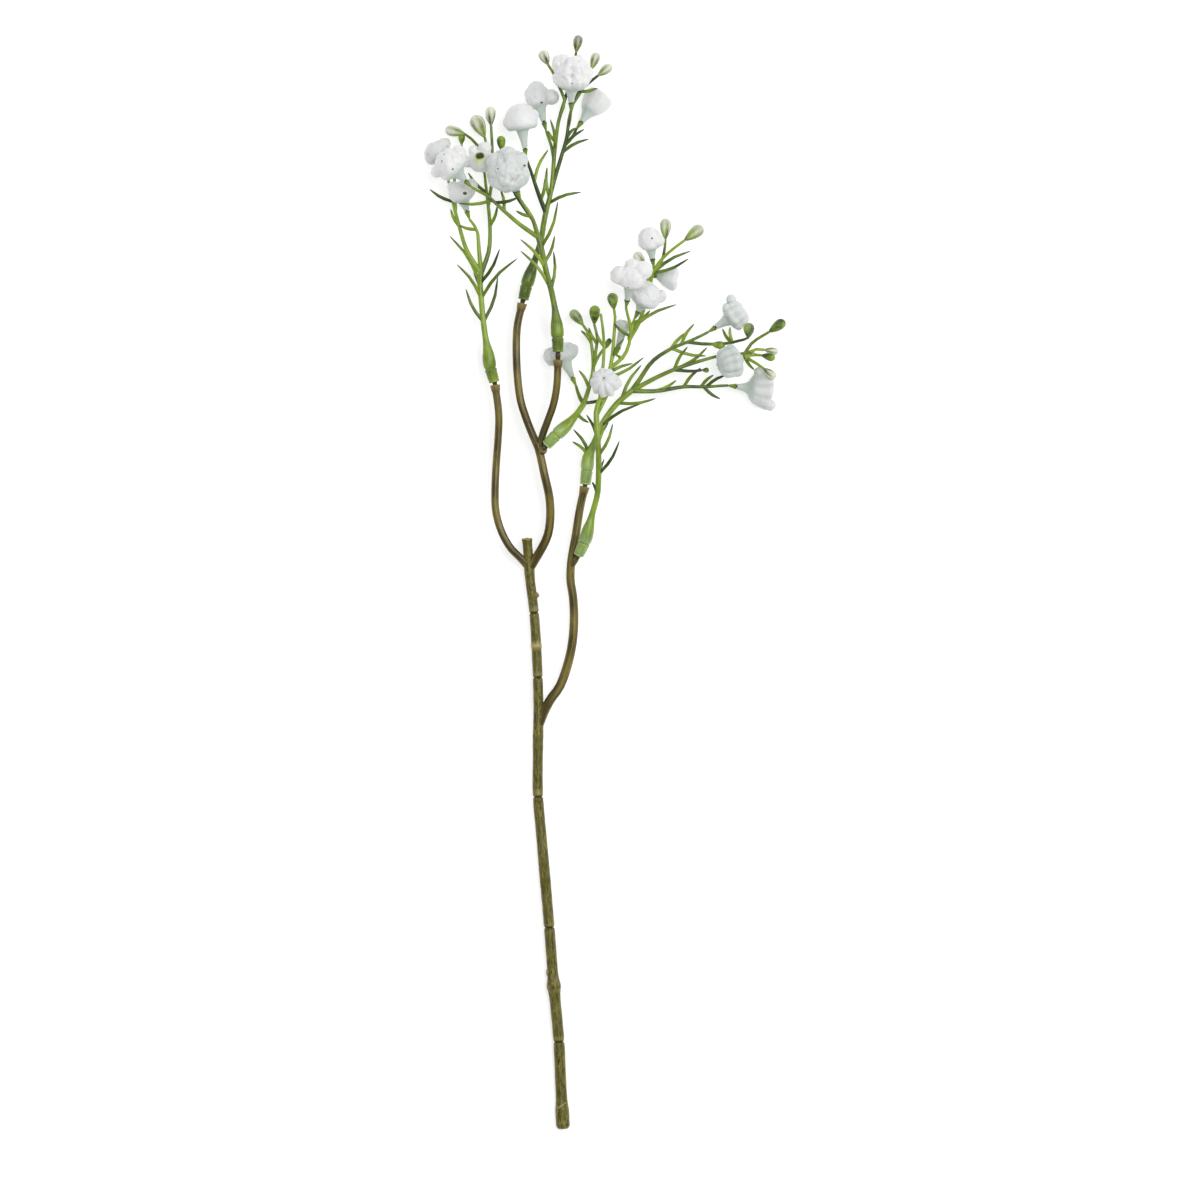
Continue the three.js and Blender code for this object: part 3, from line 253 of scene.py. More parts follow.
SPRAY_E = Spray(
    name="spray_e",
    tone=0.66,
    stalk=[
        [-8.1, 44.9, 14], [-7.4, 51, 14], [-6.5, 58, 14.2], [-4, 64, 14.4], [-1, 71.5, 14.4], [2.5, 77, 14.2],
        [6.5, 82, 14], [13.5, 88, 14],
    ],
    twigs=[
        Twig([[13, 87.6, 14], [16.5, 92.5, 14.5], [22.5, 101, 15.5], [31.5, 107, 16], [39, 110, 16.5]],
            bloom="bloom_16"),
        Twig([[38.5, 109.8, 16.4], [45, 109, 15], [52.5, 109, 14], [58.5, 109.5, 16], [62.5, 110.5, 20],
            [66, 111.5, 24]], slim=True, bud=Bud([66.5, 118, 27], 5.9, 0.25)),
        Twig([[13, 87.6, 14], [24, 93.5, 15], [33, 97.5, 15.5], [47, 102, 15], [53, 103.5, 13.5],
            [60, 104, 12.5], [64.5, 103.5, 12.5]]),
        Twig([[13, 87.6, 14], [24, 87.5, 13.5], [37, 89.5, 12.5], [47, 89.5, 11.5]], bloom="bloom_18"),
        Twig([[32, 97.2, 15.4], [40.5, 96.5, 15.5], [45, 97, 15.5]], slim=True,
            bud=Bud([48.3, 97, 15.5], 2.7)),
        Twig([[64, 103.5, 12.5], [67.5, 109, 12.8], [71.5, 112, 13.5], [75, 114, 14]], slim=True,
            bud=Bud([83, 119.5, 14.5], 5.5)),
        Twig([[64, 103.5, 12.5], [69, 106.5, 11], [73, 106.5, 10.5]], slim=True,
            bud=Bud([80, 105.5, 9], 4.1, 0.9)),
        Twig([[63.5, 103.5, 12.5], [70.5, 104, 14.5]], slim=True,
            bud=Bud([78.5, 102.5, 16], 4.1)),
        Twig([[64, 103.5, 12.5], [67.5, 101.5, 14], [71.5, 99, 15.5]], slim=True,
            bud=Bud([78.5, 93.5, 18.5], 4.5, 0.8)),
        Twig([[45, 109, 15], [48.5, 109, 15.4]], slim=True, bud=Bud([55.5, 108, 17], 4.1)),
        Twig([[60.5, 103.9, 12.5], [65, 104.8, 13.2], [68.4, 104.8, 16.5]], bloom="bloom_17", slim=True),
    ],
    leaves=[
        [[-6.3, 59], [-13.5, 70]], [[-6.5, 58], [-14, 64.5]], [[-1, 71.5], [17, 81.5]],
        [[8.5, 83.5], [17.5, 99.5]], [[6.5, 82], [24, 84]], [[31, 106.5], [39.5, 115]],
        [[35.5, 108.5], [41.5, 118]], [[31.5, 107], [47, 103.5]], [[32.5, 97.3], [38.5, 107.5]],
        [[34, 98], [47.5, 107.5]], [[37, 89.5], [44.5, 98]], [[45, 89.5], [50.5, 95]],
        [[47.5, 89.5], [56.5, 95]], [[46, 89.5], [53.5, 84]], [[58.5, 109.5], [54.5, 116, 11]],
        [[59, 109.5], [58, 117, 6.5]], [[64.5, 103.5], [69, 97]], [[24, 87.5], [33.5, 92.5]],
    ],
)
SPRAY_F = Spray(
    name="spray_f",
    tone=0.62,
    stalk=[
        [-11.2, 12.8, 16.4], [-8.5, 18.5, 18.2], [-6.5, 25, 19.4], [-5, 31, 20.3], [-2.5, 40.5, 22],
        [-2, 48.5, 24], [-2, 57.5, 25.5], [-2.5, 68, 26.5], [-3, 77.5, 26.5], [-1.5, 83, 26],
    ],
    twigs=[
        Twig([[-2.9, 76, 26.5], [0, 81.5, 27]], bloom="bloom_14", slim=True),
        Twig([[-1.6, 82.5, 26], [0, 98.5, 22], [0.5, 107.5, 22], [0, 115, 22.5], [-1, 122.5, 23]], slim=True),
        Twig([[-1.6, 82.5, 26], [2.5, 94, 21.5], [4.5, 105.5, 21], [5, 112.5, 21.5], [5.5, 122, 22],
            [5, 124.5, 22.5]], bud=Bud([4, 132, 23], 5.5, 0.2)),
        Twig([[-1.6, 82.5, 26], [1, 92.5, 20.5], [3.5, 98, 19.5], [8, 101.5, 19.5], [11, 106, 20],
            [12.5, 112.5, 21], [12.3, 117.5, 22.5]], bloom="bloom_11"),
        Twig([[12, 111, 20.7], [16.5, 119, 13], [20, 130, 12], [21.8, 137, 15]], bloom="bloom_10"),
        Twig([[12.6, 114.5, 21.4], [13.6, 118, 20.8]], bloom="bloom_12", slim=True),
        Twig([[20.3, 131, 12.2], [20.5, 137.5, 14]], bloom="bloom_13", slim=True),
        Twig([[22, 139.8, 16.8], [26, 145, 17], [28, 151.5, 18]], slim=True,
            bud=Bud([28.5, 166, 19], 5.9, 0.7)),
        Twig([[22.2, 140.5, 17], [25.5, 145.8, 20], [29.5, 150, 21.5]], slim=True,
            bud=Bud([45.5, 162, 23], 6.4, 0.65)),
        Twig([[8, 101.5, 19.5], [7.3, 103.3, 17.2]], bloom="bloom_19", slim=True),
        Twig([[21.6, 136, 14.4], [19.8, 143.5, 16]], slim=True,
            bud=Bud([14.5, 150.5, 18], 5, 0.95)),
    ],
    leaves=[
        [[-2.5, 40.5], [-5, 46]], [[-2.5, 40.5], [0.5, 56.5]], [[-2, 49], [7.5, 64.5]],
        [[-2.3, 64], [-7.5, 76.5]], [[-2, 57.5], [4.5, 72.5]], [[-2.2, 63], [2.5, 73]],
        [[12.5, 112.5], [5, 118]], [[13.5, 115.5], [33.5, 127]], [[14.3, 119.5], [21.5, 124]],
        [[2, 95], [13.5, 100]], [[1.6, 93], [18.5, 102.5]], [[0.5, 107.5], [-3, 114]],
        [[4, 102], [9.5, 111]], [[22.5, 141], [40, 151.5]], [[22.5, 141], [39, 147.5]],
        [[20.2, 132], [14, 141, 8]],
    ],
)
SPRAYS = [SPRAY_A, SPRAY_B, SPRAY_C, SPRAY_D, SPRAY_E, SPRAY_F]

# Small pinholes in the blooms, each a flat dark pit of painted shade: places across and along the table, and
# radius, in millimetres
PINHOLES = {
    "bloom_01": [[-80, 195.5, 0.3]],
    "bloom_02": [[-72, 194.5, 0.4], [-73, 191, 0.4], [-68, 187.5, 0.45]],
    "bloom_03": [[-62.8, 177.1, 0.85]],
    "bloom_04": [[-47.5, 187.5, 0.4], [-35.5, 189, 0.6]],
    "bloom_07": [[-28, 218.6, 0.6]],
    "bloom_08": [[-14, 226.5, 0.35], [-18.5, 223.5, 0.5]],
    "bloom_10": [[22.3, 156.7, 0.45]],
    "bloom_11": [[11.4, 134, 0.3]],
    "bloom_14": [[0.4, 92.8, 0.45]],
}

# Small marks on the bark: a bud scar, a slanted ridge near the cut end and a broken peg
SCAR_PLACE = [-24.6, -177.5, 4.9]
RIDGE_ROUTE = [[-21, -240.6, 4.6], [-18.6, -238.4, 5.9], [-16.2, -236.8, 4.8]]
PEG_ROUTE = [[-31.9, -6.6, 9.8], [-29.7, -4.9, 11.2]]
WIRE_FOOT = [-20.2, -212, 3.7]
WIRE_TIP = [-34.72, 20.7, 10.6]
STEM_RINGS = [40, 92.5, 152.5, 207, 236.5]  # distance of each ring notch from the cut end

# One section of a limb: its distance along the route, its radius and its paleness, which is worn or frosted
# above 0, and below 0 is painted shade for a gap or hollow
Station = namedtuple("Station", "along radius pale", defaults=[0.0])


def metres(places):
    """Places of a table, in metres round the outline's middle."""
    return [(Vector(place) - OUTLINE_MIDDLE) * MM for place in places]


def clamp(value):
    """The value, kept between 0 and 1."""
    return min(1.0, max(0.0, value))


def bump(mark, middle, width):
    """A smooth rise to 1 round a middle, and down to 0 on both sides of it."""
    return math.exp(-(((mark - middle) / width) ** 2))


class Route:
    """A smooth line through places, with a measure along its length."""

    STEPS = 24  # straight bits between two places

    def __init__(self, places):
        inner = [Vector(place) for place in places]
        first = inner[0] * 2 - inner[1]
        last = inner[-1] * 2 - inner[-2]
        run = [first, *inner, last]
        self.places = [inner[0]]
        for four in zip(run, run[1:], run[2:], run[3:]):
            self.places += [self.between(four, step / self.STEPS) for step in range(1, self.STEPS + 1)]
        self.marks = [0.0]
        for before, after in zip(self.places, self.places[1:]):
            self.marks.append(self.marks[-1] + (after - before).length)
        self.length = self.marks[-1]

    @staticmethod
    def between(four, share):
        """A point between the second and third of four places, on a curve that turns without kinks."""
        before, start, end, after = four
        lead, span, trail = ((b - a).length ** 0.5 or 1.0 for a, b in zip(four, four[1:]))
        leave = (start - before) / lead - (end - before) / (lead + span) + (end - start) / span
        arrive = (end - start) / span - (after - start) / (span + trail) + (after - end) / trail
        leave, arrive = leave * span, arrive * span
        square, cube = share**2, share**3
        return (
            start * (2 * cube - 3 * square + 1)
            + leave * (cube - 2 * square + share)
            + end * (3 * square - 2 * cube)
            + arrive * (cube - square)
        )

    def at(self, along):
        """The place at a distance along the route, and how a section across it is turned."""
        along = min(max(along, 0.0), self.length)
        step = 1
        while step < len(self.marks) - 1 and self.marks[step] < along:
            step += 1
        low, high = self.marks[step - 1], self.marks[step]
        before, after = self.places[step - 1], self.places[step]
        place = before.lerp(after, (along - low) / max(high - low, 1e-9))
        ahead = self.places[min(step + 1, len(self.places) - 1)] - self.places[max(step - 2, 0)]
        ahead.normalize()
        side = ahead.cross(UP).normalized()
        turned = Matrix((side, ahead.cross(side), ahead)).transposed()
        return place, turned.to_quaternion()


# Modelling by hand: selection, limbs, and pieces put together

SMOOTH_ANGLE = math.radians(55)  # edges that turn further than this stay sharp


def deselect():
    """Leaves nothing selected, so that the next tool works on the new mesh alone."""
    if bpy.context.object and bpy.context.object.mode != "OBJECT":
        bpy.ops.object.mode_set(mode="OBJECT")
    bpy.ops.object.select_all(action="DESELECT")


def select_only(*forms):
    """Selects these forms and nothing else, and makes the first of them the active one."""
    deselect()
    for form in forms:
        form.select_set(True)
    bpy.context.view_layer.objects.active = forms[0]


def join(parts):
    """Joins forms into the first of them."""
    select_only(*parts)
    if len(parts) > 1:
        bpy.ops.object.join()
    return bpy.context.object


def pick(wanted):
    """Selects the corners of the edited mesh whose number and place pass the test."""
    shape = bmesh.from_edit_mesh(bpy.context.object.data)
    for corner in shape.verts:
        corner.select_set(wanted(corner.index, corner.co))
    shape.select_flush(True)
    shape.select_flush(False)
    bmesh.update_edit_mesh(bpy.context.object.data)


def pick_lobe(sides, rows, line, width, first_row=0):
    """Selects a turned form's corners in some of its rows, up to an angle to each side of a line."""
    pick(lambda number, place: number // sides - first_row in rows
         and math.cos(math.atan2(place.y, place.x) - line) > math.cos(width))


def rotate_selected(turn, centre):
    """Turns what is selected by a quaternion about a place, round one axis after the other."""
    for axis, angle in zip("XYZ", turn.to_euler("XYZ")):
        if abs(angle) > 1e-6:
            bpy.ops.transform.rotate(
                value=-angle, orient_axis=axis, orient_type="GLOBAL", center_override=centre
            )


def mark_surface(mesh, values):
    """Stores a number for each corner of a mesh under each name, for its material to read. The
    grain is a place instead: across the limb, and along it."""
    for name, numbers in values.items():
        kind = "FLOAT_VECTOR" if name == "grain" else "FLOAT"
        layer = mesh.attributes.new(name, kind, "POINT")
        for item, number in zip(layer.data, numbers):
            if name == "grain":
                item.vector = number
            else:
                item.value = number


def limb(route, stations, finish, sides=10, flat=1.0, tone=0.5):
    """Grows a closed limb along a route. A filled circle at the first station is extruded to each
    of the next ones and sized and turned to it. A negative distance counts from the route's end."""
    if not isinstance(route, Route):
        route = Route(metres(route))
    stations = [Station(*station) for station in stations]
    alongs = [route.length + one.along if one.along < 0 else one.along for one in stations]
    place, facing = route.at(alongs[0])
    deselect()
    bpy.ops.mesh.primitive_circle_add(
        vertices=sides, radius=stations[0].radius, fill_type="NGON", location=place,
        rotation=facing.to_euler(),
    )
    grown = bpy.context.object
    grown.scale = (1, flat, 1)
    bpy.ops.object.transform_apply(location=True, rotation=True, scale=True)
    bpy.ops.object.mode_set(mode="EDIT")
    for before, after, along in zip(stations, stations[1:], alongs[1:]):
        new_place, new_facing = route.at(along)
        bpy.ops.mesh.extrude_region_move(TRANSFORM_OT_translate={"value": new_place - place})
        growth = after.radius / before.radius
        bpy.ops.transform.resize(value=(growth, growth, growth), center_override=new_place)
        rotate_selected(new_facing @ facing.inverted(), new_place)
        place, facing = new_place, new_facing
    bpy.ops.mesh.select_all(action="SELECT")
    bpy.ops.mesh.normals_make_consistent(inside=False)
    bpy.ops.object.mode_set(mode="OBJECT")
    values = {"grain": [], "pale": [], "tone": [], "tip": []}
    for number in range(len(grown.data.vertices)):
        ring, corner = divmod(number, sides)
        angle = 2 * math.pi * corner / sides
        radius = stations[ring].radius
        values["grain"].append((radius * math.cos(angle), radius * math.sin(angle), alongs[ring]))
        values["pale"].append(stations[ring].pale)
        values["tone"].append(tone)
        values["tip"].append(alongs[ring] / route.length)
    mark_surface(grown.data, values)
    grown.data.materials.append(finish)
    return grown


def even_stations(first, last, length, step):
    """Stations at even steps, with the radius going evenly from the first to the last."""
    rows = max(2, round(length / step))
    return [Station(length * row / rows, first + (last - first) * row / rows) for row in range(rows + 1)]


def copy_of(form, moved, **values):
    """A copy of a modelled form with a mesh of its own, moved to its place. The stored values that
    are named are multiplied by their number."""
    made = form.copy()
    made.data = form.data.copy()
    made.data.transform(moved)
    bpy.context.scene.collection.objects.link(made)
    for name, number in values.items():
        for item in made.data.attributes[name].data:
            item.value *= number
    return made


def upright_at(place, axis, size, turn=0.0):
    """The move that takes a form standing on the origin to a place, along an axis."""
    facing = UP.rotation_difference(axis).to_matrix().to_4x4()
    return Matrix.Translation(place) @ facing @ Matrix.Rotation(turn, 4, "Z") @ Matrix.Diagonal((*size, 1))


def one_piece(parts, name, node):
    """Joins parts into one piece of the object, which stands for a node of the solids."""
    piece = join(parts)
    piece.name = piece.data.name = name
    bpy.ops.object.shade_smooth_by_angle(angle=SMOOTH_ANGLE)
    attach(piece, "root")
    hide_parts(node)
    return piece


def rest_on_table(piece):
    """Cuts off what would lie below the table, and closes the cut with a flat."""
    select_only(piece)
    bpy.ops.object.mode_set(mode="EDIT")
    bpy.ops.mesh.select_all(action="SELECT")
    bpy.ops.mesh.bisect(
        plane_co=(0, 0, 0), plane_no=(0, 0, -1), clear_outer=True, use_fill=True, threshold=0.001 * MM
    )
    bpy.ops.object.mode_set(mode="OBJECT")


def modify(form, kind, **settings):
    """Puts a modifier on a form and applies it."""
    select_only(form)
    bpy.ops.object.modifier_add(type=kind)
    modifier = form.modifiers[-1]
    for setting, value in settings.items():
        setattr(modifier, setting, value)
    bpy.ops.object.modifier_apply(modifier=modifier.name)


def discard(form):
    """Takes away a form that has only served for copies."""
    bpy.data.meshes.remove(form.data)


# Materials


def colour(code):
    """A colour written as on the web, as the linear numbers that Blender works with."""
    parts = [int(code[spot : spot + 2], 16) / 255 for spot in (1, 3, 5)]
    return tuple(part / 12.92 if part <= 0.04045 else ((part + 0.055) / 1.055) ** 2.4 for part in parts)


class Shade:
    """An output of a node. Arithmetic on it adds Math nodes to its material."""

    def __init__(self, tree, socket):
        self.tree = tree
        self.socket = socket

    def feed(self, spot):
        """Links the output to an input."""
        self.tree.links.new(self.socket, spot)

    def math(self, operation, *values):
        """Adds a Math node that works on these values, and gives its output."""
        node = self.tree.nodes.new("ShaderNodeMath")
        node.operation = operation
        for spot, value in zip(node.inputs, values):
            connect(spot, value)
        return Shade(self.tree, node.outputs[0])

    def __add__(self, other):
        return self.math("ADD", self, other)

    def __sub__(self, other):
        return self.math("SUBTRACT", self, other)

    def __rsub__(self, other):
        return self.math("SUBTRACT", other, self)

    def __mul__(self, other):
        return self.math("MULTIPLY", self, other)

    __radd__ = __add__
    __rmul__ = __mul__


def connect(spot, value):
    """Feeds an input from a shade, or sets it to a number, a vector or a colour."""
    if isinstance(value, Shade):
        value.feed(spot)
    elif spot.type == "RGBA":
        spot.default_value = (*tuple(value)[:3], 1)
    else:
        spot.default_value = value


class Finish:
    """A material with one plastic or metal surface and the nodes that colour and roughen it."""

    def __init__(self, name, **fixed):
        """Starts a material; a fixed value is named as its input is, with _ for each space."""
        self.material = bpy.data.materials.new(name)
        self.material.use_nodes = True
        self.tree = self.material.node_tree
        self.surface = self.tree.nodes["Principled BSDF"]
        for socket, value in fixed.items():
            connect(self.surface.inputs[socket.replace("_", " ")], value)

    def node(self, kind, settings, sockets, output=0):
        """Adds a node of a type, with its settings first and then its sockets by name or number."""
        node = self.tree.nodes.new(kind)
        for setting, value in settings.items():
            setattr(node, setting, value)
        for socket, value in sockets.items():
            connect(node.inputs[socket], value)
        return Shade(self.tree, node.outputs[output])

    def stored(self, name, output="Fac"):
        """A value stored on the surface when it was modelled."""
        return self.node("ShaderNodeAttribute", {"attribute_name": name}, {}, output)

    def place(self):
        """Where a point lies on the object."""
        return self.node("ShaderNodeTexCoord", {}, {}, "Object")

    def stretched(self, vector, by):
        """A place with each of its numbers multiplied; one under 1 draws marks out that way."""
        return self.node("ShaderNodeVectorMath", {"operation": "MULTIPLY"}, {0: vector, 1: by})

    def noise(self, vector, scale, detail, roughness=0.5, warp=0.0):
        """Cloudy noise between 0 and 1, with about as many marks in a metre as its scale."""
        sockets = {"Vector": vector, "Scale": scale, "Detail": detail, "Roughness": roughness}
        return self.node("ShaderNodeTexNoise", {}, {**sockets, "Distortion": warp})

    def mix(self, share, first, second):
        """Goes from the first colour to the second as the share goes from 0 to 1."""
        return self.node("ShaderNodeMix", {"data_type": "RGBA"}, {0: share, 6: first, 7: second}, 2)

    def fade(self, value, low, high):
        """A smooth step: 0 where the value is under low, 1 where it is over high."""
        settings = {"interpolation_type": "SMOOTHSTEP"}
        return self.node("ShaderNodeMapRange", settings, {"Value": value, "From Min": low, "From Max": high})

    def paint(self, base, roughness=None, relief=None, depth=0.1 * MM):
        """Feeds the surface: its colour, its roughness and a relief of a real depth."""
        connect(self.surface.inputs["Base Color"], base)
        if roughness is not None:
            connect(self.surface.inputs["Roughness"], roughness)
        if relief is not None:
            raised = self.node("ShaderNodeBump", {}, {"Strength": 1.0, "Distance": depth, "Height": relief})
            connect(self.surface.inputs["Normal"], raised)
        return self.material


def bark_finish(look):
    """Olive-brown bark: streaks along the stem, pale worn flecks, tan on rings and scars, and painted shade
    in the ring notches and the stub's hollow top.
    """
    finish = Finish("bark plastic", Specular_IOR_Level=0.32)
    grain = finish.stored("grain", "Vector")
    drawn_out = finish.stretched(grain, (1, 1, 0.16))
    streaks = finish.noise(drawn_out, scale=1500, detail=4, roughness=0.65, warp=0.9)
    patches = finish.noise(finish.stretched(grain, (1, 1, 0.5)), scale=260, detail=3)
    flecks = finish.noise(finish.stretched(grain, (1, 1, 0.35)), scale=2600, detail=2)
    brown = finish.mix(finish.fade(streaks, 0.34, 0.66), look.bark_dark, look.bark_light)
    brown = finish.mix(finish.fade(patches, 0.4, 0.62) * 0.6, brown, look.bark_green)
    brown = finish.mix(finish.fade(flecks, 0.62, 0.74) * 0.35, brown, look.rim_tan)
    brown = finish.mix(finish.stored("pale"), brown, look.rim_tan)
    # painted shade where the paleness is below 0
    brown = finish.mix(finish.stored("pale") * -1.0, brown, look.gap_shade)
    grit = finish.noise(grain, scale=1500, detail=2)
    relief = streaks * 0.4 + flecks * 0.2 + grit * 0.4
    return finish.paint(brown, 0.18 + 0.14 * streaks, relief, 0.25 * MM)


def arm_finish(look):
    """Smooth glossy brown of the bent arms, with tan rims at the cups, and painted shade inside the cups and
    on the pegs.
    """
    finish = Finish("arm plastic", Specular_IOR_Level=0.4)
    grain = finish.stored("grain", "Vector")
    cloudy = finish.noise(finish.stretched(grain, (1, 1, 0.15)), scale=420, detail=3)
    scuffs = finish.noise(finish.stretched(grain, (1, 1, 0.05)), scale=2400, detail=2)
    brown = finish.mix(finish.fade(cloudy, 0.35, 0.7), look.arm_dark, look.arm_light)
    brown = finish.mix(finish.stored("pale"), brown, look.cup_tan)
    # painted shade where the paleness is below 0: inside the cups and on the pegs
    brown = finish.mix(finish.stored("pale") * -1.0, brown, look.gap_shade)
    return finish.paint(brown, 0.22 + 0.14 * scuffs, scuffs, 0.07 * MM)


def wire_finish(look):
    """Dull dark wire with fine drawing lines."""
    finish = Finish("dark wire", Metallic=0.7)
    grain = finish.stored("grain", "Vector")
    lines = finish.noise(finish.stretched(grain, (1, 1, 0.02)), scale=5000, detail=2)
    grey = finish.mix(lines, look.wire_dark, look.wire_light)
    return finish.paint(grey, 0.35 + 0.2 * lines, lines, 0.02 * MM)


def green_finish(look):
    """Leaf green: yellow-green and dark green limbs, darker tips, frosted places on sockets."""
    finish = Finish(
        "green plastic", Specular_IOR_Level=0.5, Subsurface_Weight=0.08, Subsurface_Radius=(0.4, 1.0, 0.2),
        Subsurface_Scale=0.8 * MM,
    )
    grain = finish.stored("grain", "Vector")
    broad = finish.noise(finish.place(), scale=90, detail=2)
    fine = finish.noise(finish.stretched(grain, (1, 1, 0.2)), scale=1500, detail=3)
    bright = finish.fade(finish.stored("tone") + (broad - 0.5) * 0.9 + (fine - 0.5) * 0.35, 0.1, 0.9)
    green = finish.mix(bright, look.green_dark, look.green_bright)
    tips = finish.fade(finish.stored("tip"), 0.55, 1.0) * finish.stored("darkens")
    green = finish.mix(tips, green, look.green_tip)
    frost = finish.fade(finish.stored("pale") + (fine - 0.5) * 0.5, 0.15, 0.95)
    green = finish.mix(frost, green, look.green_frost)
    return finish.paint(green, 0.24 + 0.16 * fine, fine, 0.08 * MM)


def bud_finish(look):
    """Buds: green sepals that fade into whitish petals, with thin green veins."""
    finish = Finish(
        "bud plastic", Specular_IOR_Level=0.5, Subsurface_Weight=0.2, Subsurface_Radius=(0.8, 1.0, 0.6),
        Subsurface_Scale=0.8 * MM,
    )
    grain = finish.stored("grain", "Vector")
    veins = finish.noise(finish.stretched(grain, (1, 1, 0.12)), scale=2600, detail=3)
    broad = finish.noise(finish.place(), scale=220, detail=2)
    green = finish.mix(finish.fade(broad + (veins - 0.5) * 0.6, 0.3, 0.7), look.green_dark, look.bud_green)
    white = finish.fade(finish.stored("pale") + (veins - 0.5) * 0.9, 0.05, 0.95)
    return finish.paint(finish.mix(white, green, look.bud_white), 0.2 + 0.15 * veins, veins, 0.06 * MM)


def petal_finish(look):
    """Soft white petals, cool blue-green on the tube, greyer on shaded blooms, with painted shade in the
    creases, a yellow-green edge round an open mouth and painted shade deep inside it."""
    finish = Finish(
        "petal plastic", Specular_IOR_Level=0.4, Subsurface_Weight=0.35, Subsurface_Radius=(1.0, 0.97, 0.95),
        Subsurface_Scale=1.2 * MM,
    )
    clouds = finish.noise(finish.place(), scale=260, detail=3)
    tints = finish.noise(finish.place(), scale=420, detail=2)
    fine = finish.noise(finish.place(), scale=2200, detail=2)
    white = finish.mix(finish.fade(clouds, 0.4, 0.75) * 0.5, look.petal_white, look.petal_shade)
    white = finish.mix(finish.fade(tints, 0.5, 0.75) * 0.35, white, look.petal_warm)
    white = finish.mix(finish.stored("shade"), white, look.petal_shadow)
    tube = finish.fade(finish.stored("tone") + (clouds - 0.5) * 0.3, 0.2, 1.0)
    white = finish.mix(tube, white, look.tube_tint)
    # painted shade in the creases
    white = finish.mix(finish.fade(finish.stored("pale"), 0.1, 1.0) * 0.55, white, look.crease_shade)
    white = finish.mix(finish.stored("edge"), white, look.mouth_edge)
    # painted shade deep in an open mouth
    white = finish.mix(finish.fade(finish.stored("tip"), 0.3, 0.9), white, look.hole_shade)
    return finish.paint(white, 0.32 + 0.16 * fine, clouds * 0.6 + fine * 0.4, 0.1 * MM)


def pinhole_finish(look):
    """The shadowed inside of a pinhole."""
    finish = Finish("pinhole", Roughness=0.9)
    speck = finish.noise(finish.place(), scale=3000, detail=2)
    return finish.paint(finish.mix(speck, look.hole_shade, look.pinhole_grey))


# What a user would change


def length_property(name, description, size):
    return FloatProperty(name=name, description=description, default=size, unit="LENGTH")


def colour_property(name, description, code):
    return FloatVectorProperty(name=name, description=description, default=colour(code), subtype="COLOR")


class StemLook(bpy.types.PropertyGroup):
    main_radius: length_property("Main stem", "Radius at the middle", 2.45 * MM)
    cup_radius: length_property("Cup", "Radius of an arm's flared end", 2.3 * MM)
    peg_radius: length_property("Peg", "Radius of the pegs in the sockets", 1.22 * MM)
    wire_radius: length_property("Wire", "Radius of the wire", 0.65 * MM)
    ring_depth: length_property("Ring depth", "Depth of a ring notch", 0.55 * MM)
    bark_dark: colour_property("Dark bark", "Between the streaks", "#201c00")
    bark_light: colour_property("Light bark", "On the streaks", "#80772c")
    bark_green: colour_property("Greenish bark", "In broad patches", "#4c4f0c")
    arm_dark: colour_property("Dark arm", "Shaded brown of the arms", "#3c3204")
    arm_light: colour_property("Light arm", "Lit brown of the arms", "#7b6d28")
    rim_tan: colour_property("Rim tan", "On rims, rings and scars", "#b0a468")
    cup_tan: colour_property("Cup tan", "On the cups of the arms", "#93804a")
    # painted shade: the dark that stands in for shade in the ring notches, the stub's hollow top, inside the
    # cups and on the pegs
    gap_shade: colour_property("Gap brown", "Deep in ring notches and on pegs", "#1d1806")
    wire_dark: colour_property("Dark wire", "Between drawing lines", "#26221d")
    wire_light: colour_property("Light wire", "On drawing lines", "#55504a")


class SprayLook(bpy.types.PropertyGroup):
    socket_radius: length_property("Socket", "Radius of a socket's bulge", 2.95 * MM)
    bore_radius: length_property("Socket bore", "Radius of the hole in a socket", 1.35 * MM)
    stalk_radius: length_property("Stalk", "Radius of a stalk", 1.35 * MM)
    branch_radius: length_property("Branch", "Radius of a main twig", 1.15 * MM)
    twig_radius: length_property("Twig", "Radius of a side twig", 0.85 * MM)
    pedicel_radius: length_property("Pedicel", "Radius under a bloom or bud", 0.62 * MM)
    leaf_width: length_property("Leaf", "Width of a needle leaf", 1.5 * MM)
    green_dark: colour_property("Dark green", "Shaded limbs", "#243a03")
    green_bright: colour_property("Bright green", "Lit limbs", "#8ca62c")
    green_tip: colour_property("Tip green", "Tips of the leaves", "#33491a")
    green_frost: colour_property("Frosted green", "Frosted sockets", "#9fb887")
    bud_green: colour_property("Bud green", "Lower half of a bud", "#8aa52f")
    bud_white: colour_property("Bud white", "Upper half of a bud", "#e0e0d0")


class BloomLook(bpy.types.PropertyGroup):
    foot_radius: length_property("Tube foot", "Radius where the tube starts", 1.4 * MM)
    throat_radius: length_property("Throat", "Radius where the tube meets the head", 2.8 * MM)
    lobes: IntProperty(name="Lobes", description="Broad swells round a head", default=5, min=3, max=8)
    ribs: IntProperty(name="Ribs", description="Ribs of a ribbed head", default=9, min=5, max=16)
    fineness: length_property("Fineness", "Spacing of the points on a petal", 0.3 * MM)
    petal_white: colour_property("Petal white", "Lit petals", "#e4e4e4")
    petal_shade: colour_property("Petal shade", "Cloudy places", "#d9d9df")
    petal_warm: colour_property("Petal warmth", "Faintly yellow places", "#dfdfd0")
    petal_shadow: colour_property("Petal shadow", "Blooms that lie deep", "#c3cac7")
    tube_tint: colour_property("Tube tint", "Cool tint of the tube", "#bfc9c2")
    # painted shade for the creases of the petals
    crease_shade: colour_property("Crease tint", "In the creases", "#b7bba9")
    mouth_edge: colour_property("Mouth edge", "Round an open mouth", "#b9c97a")
    # painted shade deep in an open mouth and in the pinholes
    hole_shade: colour_property("Mouth", "Deep in an open mouth", "#3c4410")
    pinhole_grey: colour_property("Pinhole grey", "Flecks in a pinhole", "#6d6f62")


